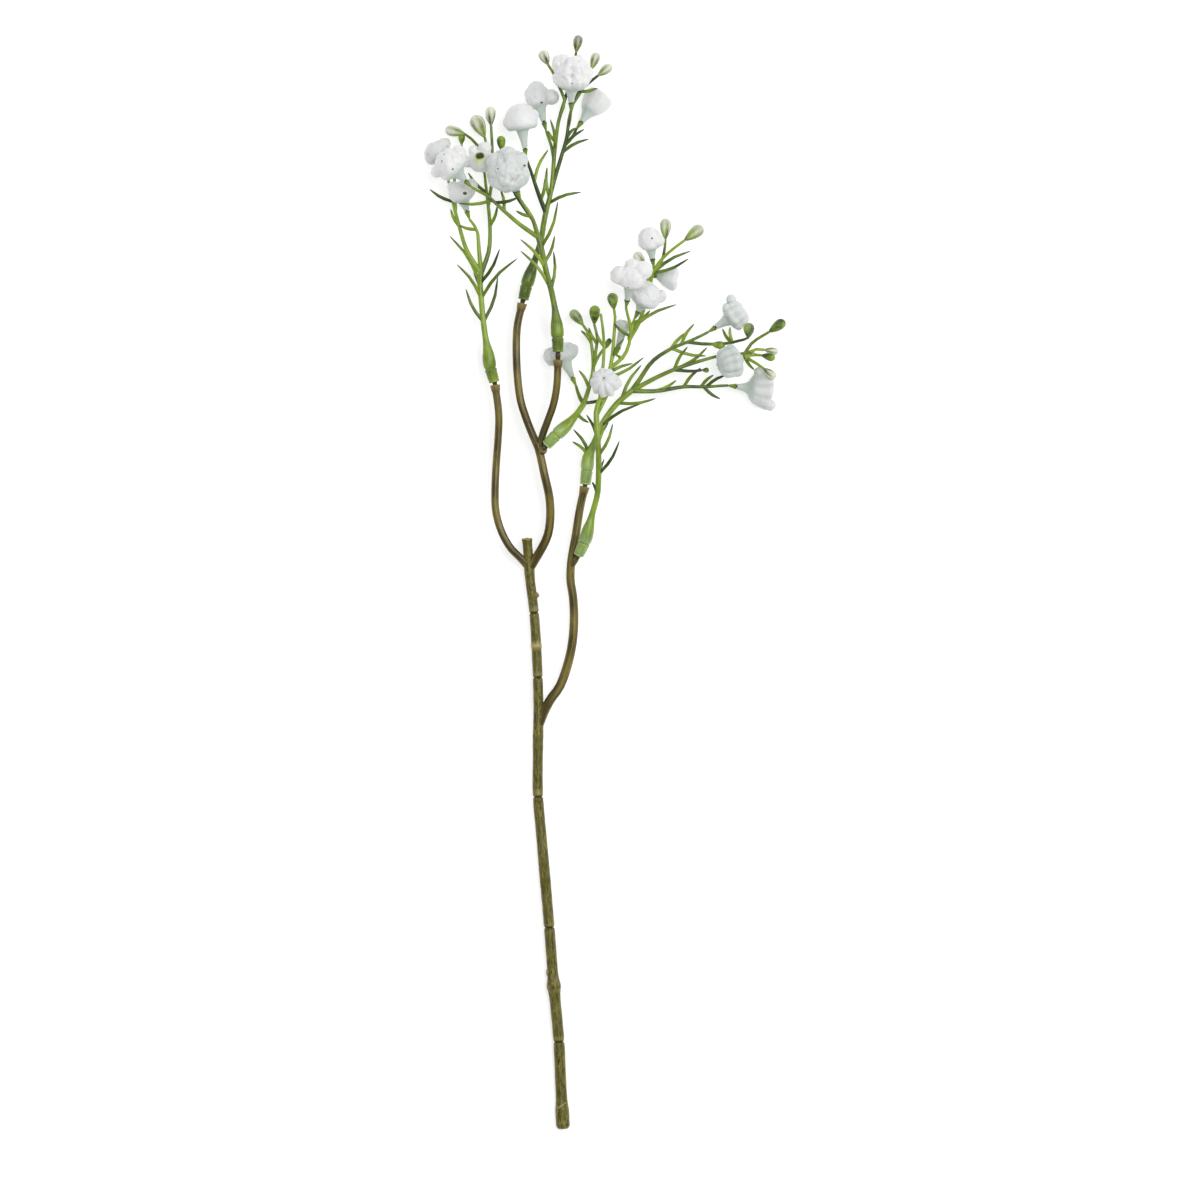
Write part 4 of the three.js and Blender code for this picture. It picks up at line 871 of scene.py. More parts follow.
class StageLook(bpy.types.PropertyGroup):
    floor_grey: colour_property("Floor", "Colour of the table", "#d2d2d2")
    floor_white: colour_property("Floor glow", "Colour of the light from below", "#ffffff")
    floor_glow: FloatProperty(
        name="Glow", description="Share of the table's light that comes from below it", default=0.52
    )
    camera_height: length_property("Camera height", "Height of the camera", 4.0)
    seen_length: length_property("Seen length", "Length of table in the view", 546.8 * MM)


# Stem: bark, arms and wire. Distances along it are in millimetres from its cut end

KNOTS = [  # middle, height and half width of each swelling
    (1.5, 0.4, 2), (7, 0.6, 4.5), (65.5, 0.75, 3), (116, 0.12, 5), (180, 0.12, 6), (221.5, 0.3, 1),
    (257, 0.2, 4), (270.6, 0.35, 1.4),
]
WORN_BANDS = [(221.5, 1.2, 0.9), (63.4, 0.7, 0.5)]  # middle, half width and paleness
CUT_END = [(0, 1.3, 0.5), (0.1, 2.1, 0.4), (0.5, 2.6)]  # distance, radius and paleness
THICKER_FOOT = 0.17  # extra radius at the cut end
TAPER, TAPER_LENGTH = 0.42, 268  # how much radius is lost over how long a stretch
RING_WIDTH = 0.45  # half width of a ring notch
RIM_PAST_RING, RIM_WIDTH = 1.2, 0.6  # a pale rim lies just past each notch
BARK_STEP, ARM_STEP, WIRE_STEP = 2.7, 3, 4  # from one section to the next
BARK_SEED = 5
# Rows of distance, radius and paleness of the small marks, in millimetres
PEG_ROWS = [(0, 1.6), (1.6, 1.45), (-0.3, 1.3, 0.2), (-0.01, 0.8, 0.3)]
RIDGE_ROWS = [(0, 0.2, 0.3), (1.2, 0.4, 0.6), (3, 0.5, 0.7), (-0.01, 0.3, 0.3)]
SCAR_ROWS = [(0, 0.4), (0.8, 1.1, 0.2), (2.6, 1.5, 0.5), (-0.8, 1.0), (-0.01, 0.3)]


def in_metres(rows):
    """Stations from rows of distance and radius in millimetres, some with a paleness."""
    return [Station(along * MM, radius * MM, *pale) for along, radius, *pale in rows]


def main_stem_stations(look, end):
    """The bark stem's outline: a swollen cut end, ring notches, knots and a flared stub."""
    draw = random.Random(BARK_SEED)
    marks = {ring + offset for ring in STEM_RINGS for offset in (-1.2, -0.6, 0, 0.6, 1.2)}
    marks |= {middle + width * side for middle, _, width in KNOTS for side in (-1, -0.5, 0, 0.5, 1)}
    marks |= {BARK_STEP * step for step in range(1, 101)}
    marks = sorted(mark for mark in marks if 0.8 < mark < end / MM - 0.3)
    stations = in_metres(CUT_END)
    for mark in marks:
        unevenness = draw.uniform(-0.05, 0.05)
        radius = look.main_radius + (THICKER_FOOT - TAPER * mark / TAPER_LENGTH) * MM + unevenness * MM
        for middle, height, width in KNOTS:
            radius += height * MM * bump(mark, middle, width)
        pale = sum(paleness * bump(mark, middle, width) for middle, width, paleness in WORN_BANDS)
        for ring in STEM_RINGS:
            notch = bump(mark - ring, 0, RING_WIDTH)
            radius -= look.ring_depth * notch
            # a pale worn rim just past each notch, and painted shade deep in the notch itself
            pale += 0.3 * bump(mark - ring, RIM_PAST_RING, RIM_WIDTH) - 0.9 * notch
        stations.append(Station(mark * MM, radius, min(pale, 1)))
    rim = look.main_radius - 0.1 * MM
    stations += [Station(end, rim, 0.8), Station(end, rim * 0.5, 0.4)]
    # painted shade down in the stub's hollow top
    return stations + [Station(end - MM, rim * 0.45, -0.8)]


def make_main_stem(look):
    """The bark stem with its scar, ridge and broken peg."""
    finish = bark_finish(look)
    route = Route(metres(MAIN_ROUTE))
    scar_middle, scar_length = Vector(SCAR_PLACE), Vector((0.2, 2.6, 0))
    scar_route = [scar_middle - scar_length, scar_middle, scar_middle + scar_length]
    parts = [limb(route, main_stem_stations(look, route.length), finish, sides=20)]
    for places, rows in [(PEG_ROUTE, PEG_ROWS), (RIDGE_ROUTE, RIDGE_ROWS), (scar_route, SCAR_ROWS)]:
        parts.append(limb(places, in_metres(rows), finish))
    rest_on_table(one_piece(parts, "bark_stem", "stem"))


def neck(places, look, finish):
    """A ringed peg from inside a cup or knob into the bore of a spray's socket, painted dark as shade, and
    darker between its rings.
    """
    wide, narrow = look.peg_radius, look.peg_radius * 0.86  # at a ring and between two rings
    rings = [(0, wide), (1.3, wide), (1.6, narrow), (2, narrow)]
    rings += [(2.3, wide), (4, wide), (4.3, narrow), (4.7, narrow)]
    # negative paleness: painted shade over the whole peg, deeper between the rings
    stations = [(along * MM, radius, -0.5 if radius == wide else -0.9) for along, radius in rings]
    stations += [(5 * MM, wide, -0.6), (-0.5 * MM, wide * 0.8, -0.6)]
    return limb(places, stations, finish, sides=12)


def make_arms(look):
    """The bent arms, each with its cup and peg, and the two side knobs with theirs."""
    finish = arm_finish(look)
    parts = []
    for arm in ARMS:
        route = Route(metres(arm.route))
        first, last = [radius * MM for radius in arm.radii]
        stations = even_stations(first, last, route.length, ARM_STEP * MM)
        if arm.wire_end:
            rim = look.cup_radius
            # millimetres back from the end, radius and paleness: up to the lip, then down inside it, where
            # the negative paleness is painted shade
            flare = [(-3.6, last + 0.03 * MM, 0), (-2.2, rim * 0.93, 0.3), (-0.7, rim, 0.6)]
            flare += [(-0.1, rim * 1.04, 0.8), (-0.01, rim * 0.98, 0.8)]
            flare += [(-0.01, rim * 0.64, -0.3), (-1.5, rim * 0.6, -0.9)]
            stations = stations[:-1] + [Station(along * MM, radius, pale) for along, radius, pale in flare]
            before, end = metres(arm.route[-2:])
            inside = end - (end - before).normalized() * 1.3 * MM
            parts.append(neck(Route([inside, end, *metres(arm.wire_end)]), look, finish))
        parts.append(limb(route, stations, finish, sides=14))
    for knob in SIDE_KNOBS:
        radius = knob.radius * MM
        swell = [(0, radius * 0.8), (1.2 * MM, radius * 1.02), (-0.5 * MM, radius, 0.2)]
        swell.append((-0.01 * MM, radius * 0.8, 0.3))
        parts.append(limb([knob.foot, knob.top], swell, finish, sides=14))
        parts.append(neck([knob.top, knob.peg_end], look, finish))
    one_piece(parts, "stem_arms", "stem")


def make_wire(look):
    """The wire inside the main stem and each arm, out to the ends that show."""
    finish = wire_finish(look)
    runs = [[WIRE_FOOT, *MAIN_ROUTE[3:], WIRE_TIP]] + [arm.route + arm.wire_end for arm in ARMS]
    parts = []
    for places in runs:
        route = Route(metres(places))
        stations = even_stations(look.wire_radius, look.wire_radius, route.length, WIRE_STEP * MM)
        parts.append(limb(route, stations, finish))
    one_piece(parts, "wire_core", "wire_armature")


# Sprays: forms that repeat, then each spray's limbs

CALYX_LENGTH = 3.9 * MM  # from the cup's foot to where the bloom's tube starts
CALYX_ROWS = [  # radius and height of the cup, its teeth and the pip inside, in millimetres
    (0.5, 0), (0.6, 0.6), (0.8, 1.4), (1.04, 2.4), (1.28, 3.2), (1.48, 3.8), (1.56, 4.5), (1.46, 4.4),
    (1.3, 3.75), (0.65, 3.6), (0.6, 5.8), (0.35, 6),
]
CALYX_TEETH_ROWS = (6, 7)
CALYX_TEETH_DEPTH = 0.75 * MM
BESIDE_A_LINE = math.radians(18.2)  # reaches a corner on a line, or the two beside it, of ten
BUD_ROWS = [  # radius as a share of the bud's width, height as a share of its length
    (0.10, 0), (0.14, 0.05), (0.22, 0.15), (0.32, 0.29), (0.41, 0.43), (0.475, 0.57), (0.5, 0.7),
    (0.455, 0.83), (0.33, 0.93), (0.16, 0.985), (0.04, 1.0),
]
BUD_WHITE = [0, 0, 0.08, 0.3, 0.52, 0.68, 0.8, 0.9, 1, 1, 1]  # share of white in each row
BUD_SLENDERNESS = 1.6  # a bud's length over its width; any longer reach is its bare stalk
SOCKET_BORE_DEPTH = 10.5 * MM
SOCKET_ROWS = [  # distance from the lip in millimetres, share of the socket's radius, frost
    (0, 0.76, 0.8), (0.3, 0.84, 0.7), (0.7, 0.85, 0.6), (0.9, 0.79, 0.2), (1.2, 0.8, 0.3), (1.5, 0.86, 0.5),
    (4.2, 0.88, 0.45), (5.7, 0.94, 0.5), (6.0, 0.94, 0.55), (6.3, 0.83, 0.2), (6.8, 0.84, 0.3),
    (7.2, 0.97, 0.6), (8.6, 1.02, 0.5), (10.5, 1.0, 0.4), (12.3, 0.95, 0.35), (14, 0.84, 0.25),
    (15.8, 0.7, 0.15), (17.5, 0.6, 0.05), (19.5, 0.5, 0),
]
FROSTED_SPRAYS = ("spray_d", "spray_e", "spray_f")
STALK_START = 22 * MM  # distance from the lip to where the socket has narrowed to the stalk
STALK_STEP = 3 * MM
TWIG_STEP = 3.5 * MM
FOOT_TRIES = 60  # places along each limb that a leaf's foot may stand on
LEAF_SEED = 101
LEAF_LOWEST = 2.5 * MM
LEAF_BOW, LEAF_LIFT = 0.07, 0.06  # how far a leaf's middle lies aside and up, as shares of its length
LEAF_ROWS = [  # share of the length, share of half the width
    (0, 1.15), (0.05, 1.05), (0.15, 1.0), (0.35, 1.05), (0.6, 0.95), (0.82, 0.7), (0.95, 0.4), (1.0, 0.15),
]


def turned_form(rows, sides, finish, size=MM):
    """A form that stands on the origin: a filled circle extruded up through rows of radius and height."""
    deselect()
    bpy.ops.mesh.primitive_circle_add(vertices=sides, radius=rows[0][0] * size, fill_type="NGON")
    form = bpy.context.object
    bpy.ops.transform.translate(value=(0, 0, rows[0][1] * size))
    bpy.ops.object.transform_apply(location=True, rotation=True, scale=True)
    bpy.ops.object.mode_set(mode="EDIT")
    for (radius, height), (new_radius, new_height) in zip(rows, rows[1:]):
        upwards = (0, 0, (new_height - height) * size)
        bpy.ops.mesh.extrude_region_move(TRANSFORM_OT_translate={"value": upwards})
        growth = new_radius / radius
        bpy.ops.transform.resize(value=(growth, growth, 1), center_override=(0, 0, new_height * size))
    bpy.ops.mesh.select_mode(type="VERT")
    form.data.materials.append(finish)
    return form


def finish_form(form, sides, tone=lambda row: 0.5, pale=lambda row, turn: 0.0):
    """Closes a form's modelling: faces outwards, values stored by row and turn, and a smooth surface."""
    bpy.ops.mesh.select_all(action="SELECT")
    bpy.ops.mesh.normals_make_consistent(inside=False)
    bpy.ops.object.mode_set(mode="OBJECT")
    values = {"grain": [], "tone": [], "pale": [], "tip": [], "darkens": []}
    for number, corner in enumerate(form.data.vertices):
        row = number // sides
        turn = math.atan2(corner.co.y, corner.co.x)
        values["grain"].append(corner.co.copy())
        values["tone"].append(tone(row))
        values["pale"].append(pale(row, turn))
        values["tip"].append(0.0)
        values["darkens"].append(0.0)
    mark_surface(form.data, values)
    modify(form, "SUBSURF", levels=1, render_levels=1)
    return form


def calyx_form(finish):
    """The green cup under a bloom, with five teeth that hold the foot of its tube."""
    sides = 10
    form = turned_form(CALYX_ROWS, sides, finish)
    for tooth in range(5):
        pick_lobe(sides, CALYX_TEETH_ROWS, math.radians(72 * tooth + 36), BESIDE_A_LINE)
        bpy.ops.transform.translate(value=(0, 0, -CALYX_TEETH_DEPTH))
    return finish_form(form, sides, tone=lambda row: 0.62 - 0.04 * row)


def bud_form(finish):
    """An upright bud of unit length and width: pointed sepals round a petal ball with three folds."""
    sides = 10
    form = turned_form(BUD_ROWS, sides, finish, 1)
    for fold in range(3):
        pick_lobe(sides, range(5, len(BUD_ROWS)), math.radians(108 * fold + 18), BESIDE_A_LINE)
        bpy.ops.transform.resize(value=(0.86, 0.86, 1), center_override=(0, 0, 0))
    for sepal in range(5):
        pick_lobe(sides, range(2, 5), math.radians(72 * sepal + 18), BESIDE_A_LINE)
        bpy.ops.transform.resize(value=(1.08, 1.08, 1), center_override=(0, 0, 0))

    def white(row, turn):
        """White towards the top, with five green stripes that fade out upwards."""
        return clamp(BUD_WHITE[row] - 0.6 * (1 - row / 12) * math.sin(5 * turn))

    return finish_form(form, sides, pale=white)


def bloom_axis(name):
    """Where a bloom's tube starts, and the direction it points in."""
    root, head = metres([BLOOMS[name].root, BLOOMS[name].head])
    return root, (head - root).normalized()


class Draw:
    """Seeded draws between 0 and 1 for the tilt and bow of the leaves, as the solids' leaves have them."""

    def __init__(self, seed):
        self.state = seed

    def __call__(self):
        self.state = self.state * 16807 % 2147483647
        return self.state / 2147483647


def foot_on(routes, across, along):
    """The place on a spray's limbs that lies nearest to a place on the table."""
    places = [
        route.at(route.length * step / FOOT_TRIES)[0] for route in routes for step in range(FOOT_TRIES + 1)
    ]
    return min(places, key=lambda place: math.hypot(place.x - across, place.y - along))


def make_leaf(routes, ends, number, draw, look, finish):
    """A needle leaf from a foot on the spray to its tip: bowed, and tilted up or down by turns."""
    foot, tip = ends
    foot_place, tip_place = metres([[*foot, 0], [*tip[:2], 0]])
    start = foot_on(routes, foot_place.x, foot_place.y)
    length = math.hypot(tip_place.x - start.x, tip_place.y - start.y)
    tilt = (-1 if number % 2 else 1) * (0.12 + 0.3 * draw()) * length
    tip_height = tip[2] * MM if len(tip) > 2 else max(LEAF_LOWEST, start.z + tilt)
    end = Vector((tip_place.x, tip_place.y, tip_height))
    across = (end - start).cross(UP).normalized()
    middle = start.lerp(end, 0.5) + across * LEAF_BOW * length * (-1 if draw() < 0.5 else 1)
    middle.z += LEAF_LIFT * length
    route = Route([start, middle, end])
    stations = [(route.length * share, look.leaf_width / 2 * width) for share, width in LEAF_ROWS]
    leaf = limb(route, stations, finish, sides=8, flat=0.6, tone=0.25 + 0.5 * draw())
    mark_surface(leaf.data, {"darkens": [0.85] * len(leaf.data.vertices)})
    return leaf


def make_twig(twig, look, finish, calyx, bud, tone):
    """A twig with what it carries: a bloom's cup, a bud or nothing. Its tone also turns the cup or bud,
    so that no two stand alike."""
    places = metres(twig.route)
    first = look.twig_radius if twig.slim else look.branch_radius
    carried, left = [], 0.0
    if twig.bloom:
        root, axis = bloom_axis(twig.bloom)
        cup_foot = root - axis * CALYX_LENGTH
        places += [cup_foot, root]
        left = CALYX_LENGTH
        carried.append(copy_of(calyx, upright_at(cup_foot, axis, (1, 1, 1), turn=tone * 3)))
    if twig.bud:
        tip = metres([twig.bud.tip])[0]
        width = twig.bud.width * MM
        left = min((tip - places[-1]).length, BUD_SLENDERNESS * width)
        places.append(tip)
        line = Route(places)
        foot, _ = line.at(line.length - left)
        size = (width, width, (tip - foot).length)
        move = upright_at(foot, (tip - foot).normalized(), size, turn=tone * 7)
        carried.append(copy_of(bud, move, pale=twig.bud.white))
    route = Route(places)
    bare = route.length - left
    stations = even_stations(first, look.pedicel_radius, bare, TWIG_STEP)
    return [limb(route, stations, finish, sides=9, tone=tone)] + carried


def make_stalk(spray, look, finish):
    """The socket and stalk of a spray: out of the bore, over the lip, the ring and the bulge."""
    route = Route(metres(spray.stalk))
    frost = 1.0 if spray.name in FROSTED_SPRAYS else 0.35
    bore = [Station(depth, look.bore_radius) for depth in (SOCKET_BORE_DEPTH, SOCKET_BORE_DEPTH / 2, 0.0)]
    socket = [
        Station(along * MM, share * look.socket_radius, pale * frost) for along, share, pale in SOCKET_ROWS
    ]
    rest = even_stations(look.stalk_radius, look.stalk_radius * 0.95, route.length - STALK_START, STALK_STEP)
    stalk = [Station(STALK_START + one.along, one.radius) for one in rest]
    return limb(route, bore + socket + stalk, finish, sides=16, tone=spray.tone)


def make_spray(spray, number, look, finishes, forms):
    """One green spray: its stalk, then its leaves, then its twigs with their cups and buds."""
    draw = Draw(LEAF_SEED + number)
    shades = random.Random(number)
    routes = [Route(metres(spray.stalk))] + [Route(metres(twig.route)) for twig in spray.twigs]
    parts = [make_stalk(spray, look, finishes["green"])]
    for ends_number, ends in enumerate(spray.leaves):
        parts.append(make_leaf(routes, ends, ends_number, draw, look, finishes["green"]))
    for twig in spray.twigs:
        tone = spray.tone + shades.uniform(-0.4, 0.2)
        parts += make_twig(twig, look, finishes["green"], *forms, tone)
    one_piece(parts, "green_" + spray.name, spray.name)


# Blooms

SIDES_OF_BLOOM = 36
PIP_BORE = [(1.05, 2.7), (1.05, 0)]  # radius and height, in millimetres
TUBE_ROWS = [(0.86, 0), (0.98, 0.08), (1.1, 0.4)]  # share of the foot's radius, share of the tube's height
# Heads from the tube up, as shares of the radius and of the height: a round ball, a mushroom cap, a
# head in two tiers, a funnel, and a bulb that has hardly opened
BALL_ROWS = [
    (0.55, 0.02), (0.76, 0.07), (0.9, 0.16), (0.98, 0.28), (1, 0.4), (0.99, 0.5), (0.95, 0.6),
    (0.9, 0.69), (0.82, 0.78), (0.7, 0.87), (0.55, 0.94), (0.37, 0.985), (0.2, 0.995),
]
CAP_ROWS = [
    (0.5, 0.05), (0.72, 0), (0.9, 0.03), (1, 0.14), (1.02, 0.28), (1, 0.42), (0.95, 0.56),
    (0.87, 0.69), (0.75, 0.81), (0.6, 0.9), (0.43, 0.96), (0.26, 0.99), (0.12, 1),
]
TIER_ROWS = [
    (0.52, 0.01), (0.76, 0.05), (0.92, 0.13), (1, 0.24), (0.99, 0.33), (0.94, 0.39), (0.91, 0.45),
    (0.94, 0.55), (0.92, 0.68), (0.82, 0.82), (0.62, 0.94), (0.4, 1), (0.22, 0.99),
]
FUNNEL_ROWS = [
    (0.5, 0.02), (0.66, 0.1), (0.78, 0.22), (0.85, 0.36), (0.92, 0.5), (0.98, 0.63), (1.04, 0.75),
    (1.06, 0.84), (1, 0.91), (0.85, 0.93), (0.66, 0.94), (0.45, 0.99), (0.22, 0.96),
]
BELL_ROWS = [
    (0.46, 0.03), (0.6, 0.12), (0.73, 0.24), (0.84, 0.38), (0.92, 0.51), (0.98, 0.64), (1.01, 0.76),
    (1.01, 0.86), (0.95, 0.94), (0.8, 0.985), (0.6, 1), (0.4, 1), (0.2, 0.99),
]
HEAD_ROWS = range(1, 13)
RIM_ROWS = range(3, 6)
# How each bloom is shaped: its rows, how far its lobes swell, how deep the creases between its ribs
# are, how far its petals ruffle and how wide the hole at its top is, as shares of the head's radius,
# then the width of a ruffle in millimetres and how many times its lobes are smoothed into each other
BloomShape = namedtuple("BloomShape", "rows lobes ribs ruffle mouth fold blend")
PUFF = BloomShape(BALL_ROWS, lobes=0.1, ribs=0, ruffle=0.17, mouth=0.06, fold=5, blend=20)
CAP = BloomShape(CAP_ROWS, lobes=0.03, ribs=0, ruffle=0.05, mouth=0.04, fold=5, blend=24)
BELL = BloomShape(BELL_ROWS, lobes=0.08, ribs=0.05, ruffle=0.07, mouth=0.1, fold=5, blend=6)
FRILL = BloomShape(BALL_ROWS, lobes=0.12, ribs=0.16, ruffle=0.22, mouth=0.08, fold=5.5, blend=5)
OPEN = BloomShape(BALL_ROWS, lobes=0.1, ribs=0, ruffle=0.14, mouth=0.42, fold=4, blend=6)
RIBBED = BloomShape(TIER_ROWS, lobes=0.04, ribs=0.24, ruffle=0.05, mouth=0.1, fold=4.5, blend=3)
FUNNEL = BloomShape(FUNNEL_ROWS, lobes=0.1, ribs=0.16, ruffle=0.05, mouth=0.1, fold=5, blend=4)
BLOOM_SHAPES = {
    "bloom_04": FRILL, "bloom_05": OPEN, "bloom_06": CAP, "bloom_08": FRILL, "bloom_09": BELL,
    "bloom_13": BELL, "bloom_14": RIBBED, "bloom_16": RIBBED, "bloom_17": RIBBED, "bloom_18": FUNNEL,
    "bloom_19": BELL,
}
RESTING_BLOOMS = ["bloom_01", "bloom_09", "bloom_18"]  # these touch the table
HEAD_WIDTH_SHARE = 0.97  # width of a head's form over its bloom's width; ruffled petals reach further
SHORTEST_TUBE = 1.5 * MM
THROAT_SHARE = 0.5  # widest throat, as a share of the head's radius
HEAD_FOOT_SHARE = 0.55  # share of a head's height that lies on the tube's side of its middle
MOUTH_LIP, MOUTH_FLOOR = 0.93, 0.82  # heights of a mouth's lip and floor, as shares of the head's height
OPEN_MOUTH = 0.3  # mouths wider than this share of the radius get painted shade inside
TUBE_FADE = 0.3  # share of the head's height over which the tube's tint ends and the petals' folds start
CREASE_DEPTH = 0.26 * MM  # a hollow this deep takes the whole painted shade of a crease
BLOOM_SEED = 200
BLOOM_TURN = 0.7  # radians that each bloom is turned on its tube past the one before it
PETAL_FOLDS = [("CLOUDS", 0.9, 1.3), ("VORONOI", 0.9, -0.6), ("CLOUDS", 0.4, 0.45)]  # size and strength
FOLD_LEVEL = 0.3  # grey of a fold's pattern that neither raises nor lowers the petal
PIT_SHAPE = (1.15, 0.85, 0.3)  # a pinhole's length, width and depth, as shares of its radius


def shape_of(name):
    """How a bloom is shaped: as its own entry says, or else as a puff."""
    return BLOOM_SHAPES.get(name, PUFF)


def bloom_measures(name):
    """A bloom's head radius, head height and tube length, in metres."""
    root, head = metres([BLOOMS[name].root, BLOOMS[name].head])
    radius = BLOOMS[name].width * MM / 2 * HEAD_WIDTH_SHARE
    height = BLOOMS[name].tall * radius
    return radius, height, max(SHORTEST_TUBE, (head - root).length - height * HEAD_FOOT_SHARE)


def bloom_rows(name, look):
    """Rows of radius and height of a bloom, in metres, and the number of its first head row."""
    shape = shape_of(name)
    radius, height, tube = bloom_measures(name)
    rows = [(wide * MM, high * MM) for wide, high in PIP_BORE]
    rows += [(wide * look.foot_radius, high * tube) for wide, high in TUBE_ROWS]
    rows.append((min(look.throat_radius, radius * THROAT_SHARE), tube))
    first_head_row = len(rows)
    rows += [(wide * radius, tube + high * height) for wide, high in shape.rows]
    rows.append((shape.mouth * radius, tube + MOUTH_LIP * height))
    rows.append((shape.mouth * radius * 0.7, tube + MOUTH_FLOOR * height))
    return rows, first_head_row


def bloom_form(name, number, look, finish):
    """One bloom that stands on the origin: its tube and its head, with uneven lobes and ribs."""
    shape = shape_of(name)
    radius, _, tube = bloom_measures(name)
    rows, first_head_row = bloom_rows(name, look)
    form = turned_form(rows, SIDES_OF_BLOOM, finish, 1)
    draw = random.Random(BLOOM_SEED + number)

    def swell(rows_wanted, line, width, share, outwards, upwards):
        """Moves the petals beside a line out and up, each by a share drawn between two ends."""
        pick_lobe(SIDES_OF_BLOOM, rows_wanted, line, math.radians(width), first_row=first_head_row)
        wider, lift = share * draw.uniform(*outwards), share * draw.uniform(*upwards)
        bpy.ops.transform.resize(value=(1 + wider, 1 + wider, 1), center_override=(0, 0, tube))
        bpy.ops.transform.translate(value=(0, 0, lift * radius))

    for lobe in range(look.lobes):
        line = 2 * math.pi * lobe / look.lobes
        swell(HEAD_ROWS, line, 32, shape.lobes, outwards=(-1, 0.6), upwards=(-0.7, 0.7))
        swell(RIM_ROWS, line, 18, shape.lobes, outwards=(0, 0.5), upwards=(-0.5, 0.8))
    for crease in range(look.ribs if shape.ribs else 0):
        line = 2 * math.pi * crease / look.ribs
        swell(HEAD_ROWS, line, 8, -shape.ribs, outwards=(0.6, 1.3), upwards=(0, 0.4))
    bpy.ops.mesh.select_all(action="SELECT")
    bpy.ops.mesh.normals_make_consistent(inside=False)
    modify(form, "SUBSURF", levels=1, render_levels=1)
    return form


def ball(place, radius):
    """A ball that bulges out of a head as a side lobe."""
    deselect()
    bpy.ops.mesh.primitive_ico_sphere_add(subdivisions=3, radius=radius * MM, location=metres([place])[0])
    bpy.ops.object.transform_apply(location=True, rotation=True, scale=True)
    return bpy.context.object


def melt(parts, name, look, finish):
    """Makes one skin over a bloom's turned form and its side lobes, and blends the lobes in."""
    skin = join(parts)
    modify(skin, "REMESH", mode="VOXEL", voxel_size=look.fineness)
    skin.data.materials.clear()
    skin.data.materials.append(finish)
    _, height, tube = bloom_measures(name)
    root, axis = bloom_axis(name)
    petals = skin.vertex_groups.new(name="petals")
    for corner in skin.data.vertices:
        along = (corner.co - root).dot(axis)
        petals.add([corner.index], clamp((along - tube) / (TUBE_FADE * height)), "REPLACE")
    modify(skin, "SMOOTH", factor=0.5, iterations=2)
    modify(skin, "SMOOTH", factor=0.5, iterations=shape_of(name).blend, vertex_group="petals")
    return skin


def ruffle(skin, name):
    """Puckers a head into soft cells with creases between them; its tube stays smooth."""
    shape = shape_of(name)
    radius, _, _ = bloom_measures(name)
    for kind, size, strength in PETAL_FOLDS:
        texture = bpy.data.textures.new(kind.lower(), kind)
        texture.noise_scale = shape.fold * size * MM
        if kind == "VORONOI":
            texture.distance_metric = "DISTANCE_SQUARED"
        modify(
            skin, "DISPLACE", texture=texture, texture_coords="LOCAL", vertex_group="petals",
            mid_level=FOLD_LEVEL, strength=strength * shape.ruffle * radius,
        )
        bpy.data.textures.remove(texture)
    modify(skin, "SMOOTH", factor=0.5, iterations=1)


def mark_petals(skin, name):
    """Stores what the petal material reads: the cool tube, the creases and the mouth's inside for their
    painted shade, the mouth's edge and the shade.
    A crease is where the skin lies under a smoothed copy of itself."""
    shape = shape_of(name)
    radius, height, tube = bloom_measures(name)
    root, axis = bloom_axis(name)
    even = copy_of(skin, Matrix())
    modify(even, "SMOOTH", factor=0.5, iterations=24)
    values = {"tone": [], "pale": [], "tip": [], "edge": [], "shade": [], "darkens": []}
    for corner, evened in zip(skin.data.vertices, even.data.vertices):
        from_root = corner.co - root
        along = from_root.dot(axis)
        aside = (from_root - axis * along).length
        hollow = (evened.co - corner.co).dot(corner.normal)
        mouth_share = aside / (shape.mouth * radius)
        opened = shape.mouth > OPEN_MOUTH and along > tube + 0.6 * height
        values["tone"].append(clamp(1.1 - (along - tube) / (TUBE_FADE * height)))
        # how deep a crease lies, for its painted shade
        values["pale"].append(clamp(0.2 + hollow / CREASE_DEPTH))
        # how deep in an open mouth, for its painted shade
        values["tip"].append(clamp(1.6 - 1.2 * mouth_share) if opened else 0.0)
        values["edge"].append(clamp(2.3 - mouth_share - from_root.y / radius) if opened else 0.0)
        values["shade"].append(BLOOMS[name].shade)
        values["darkens"].append(0.0)
    mark_surface(skin.data, values)
    discard(even)


def pinhole_on(bloom, across, along, radius, finish):
    """A small flat pit of painted shade on the bloom's upper side, over a place on the table."""
    spot = metres([[across, along, 0]])[0]
    upper = [corner for corner in bloom.data.vertices if corner.normal.z > 0.2]
    nearest = min(upper, key=lambda corner: math.hypot(corner.co.x - spot.x, corner.co.y - spot.y))
    deselect()
    bpy.ops.mesh.primitive_uv_sphere_add(
        segments=12, ring_count=8, radius=radius * MM, location=nearest.co,
        rotation=UP.rotation_difference(nearest.normal).to_euler(),
    )
    pit = bpy.context.object
    pit.scale = PIT_SHAPE
    bpy.ops.object.transform_apply(location=True, rotation=True, scale=True)
    pit.data.materials.append(finish)
    return pit


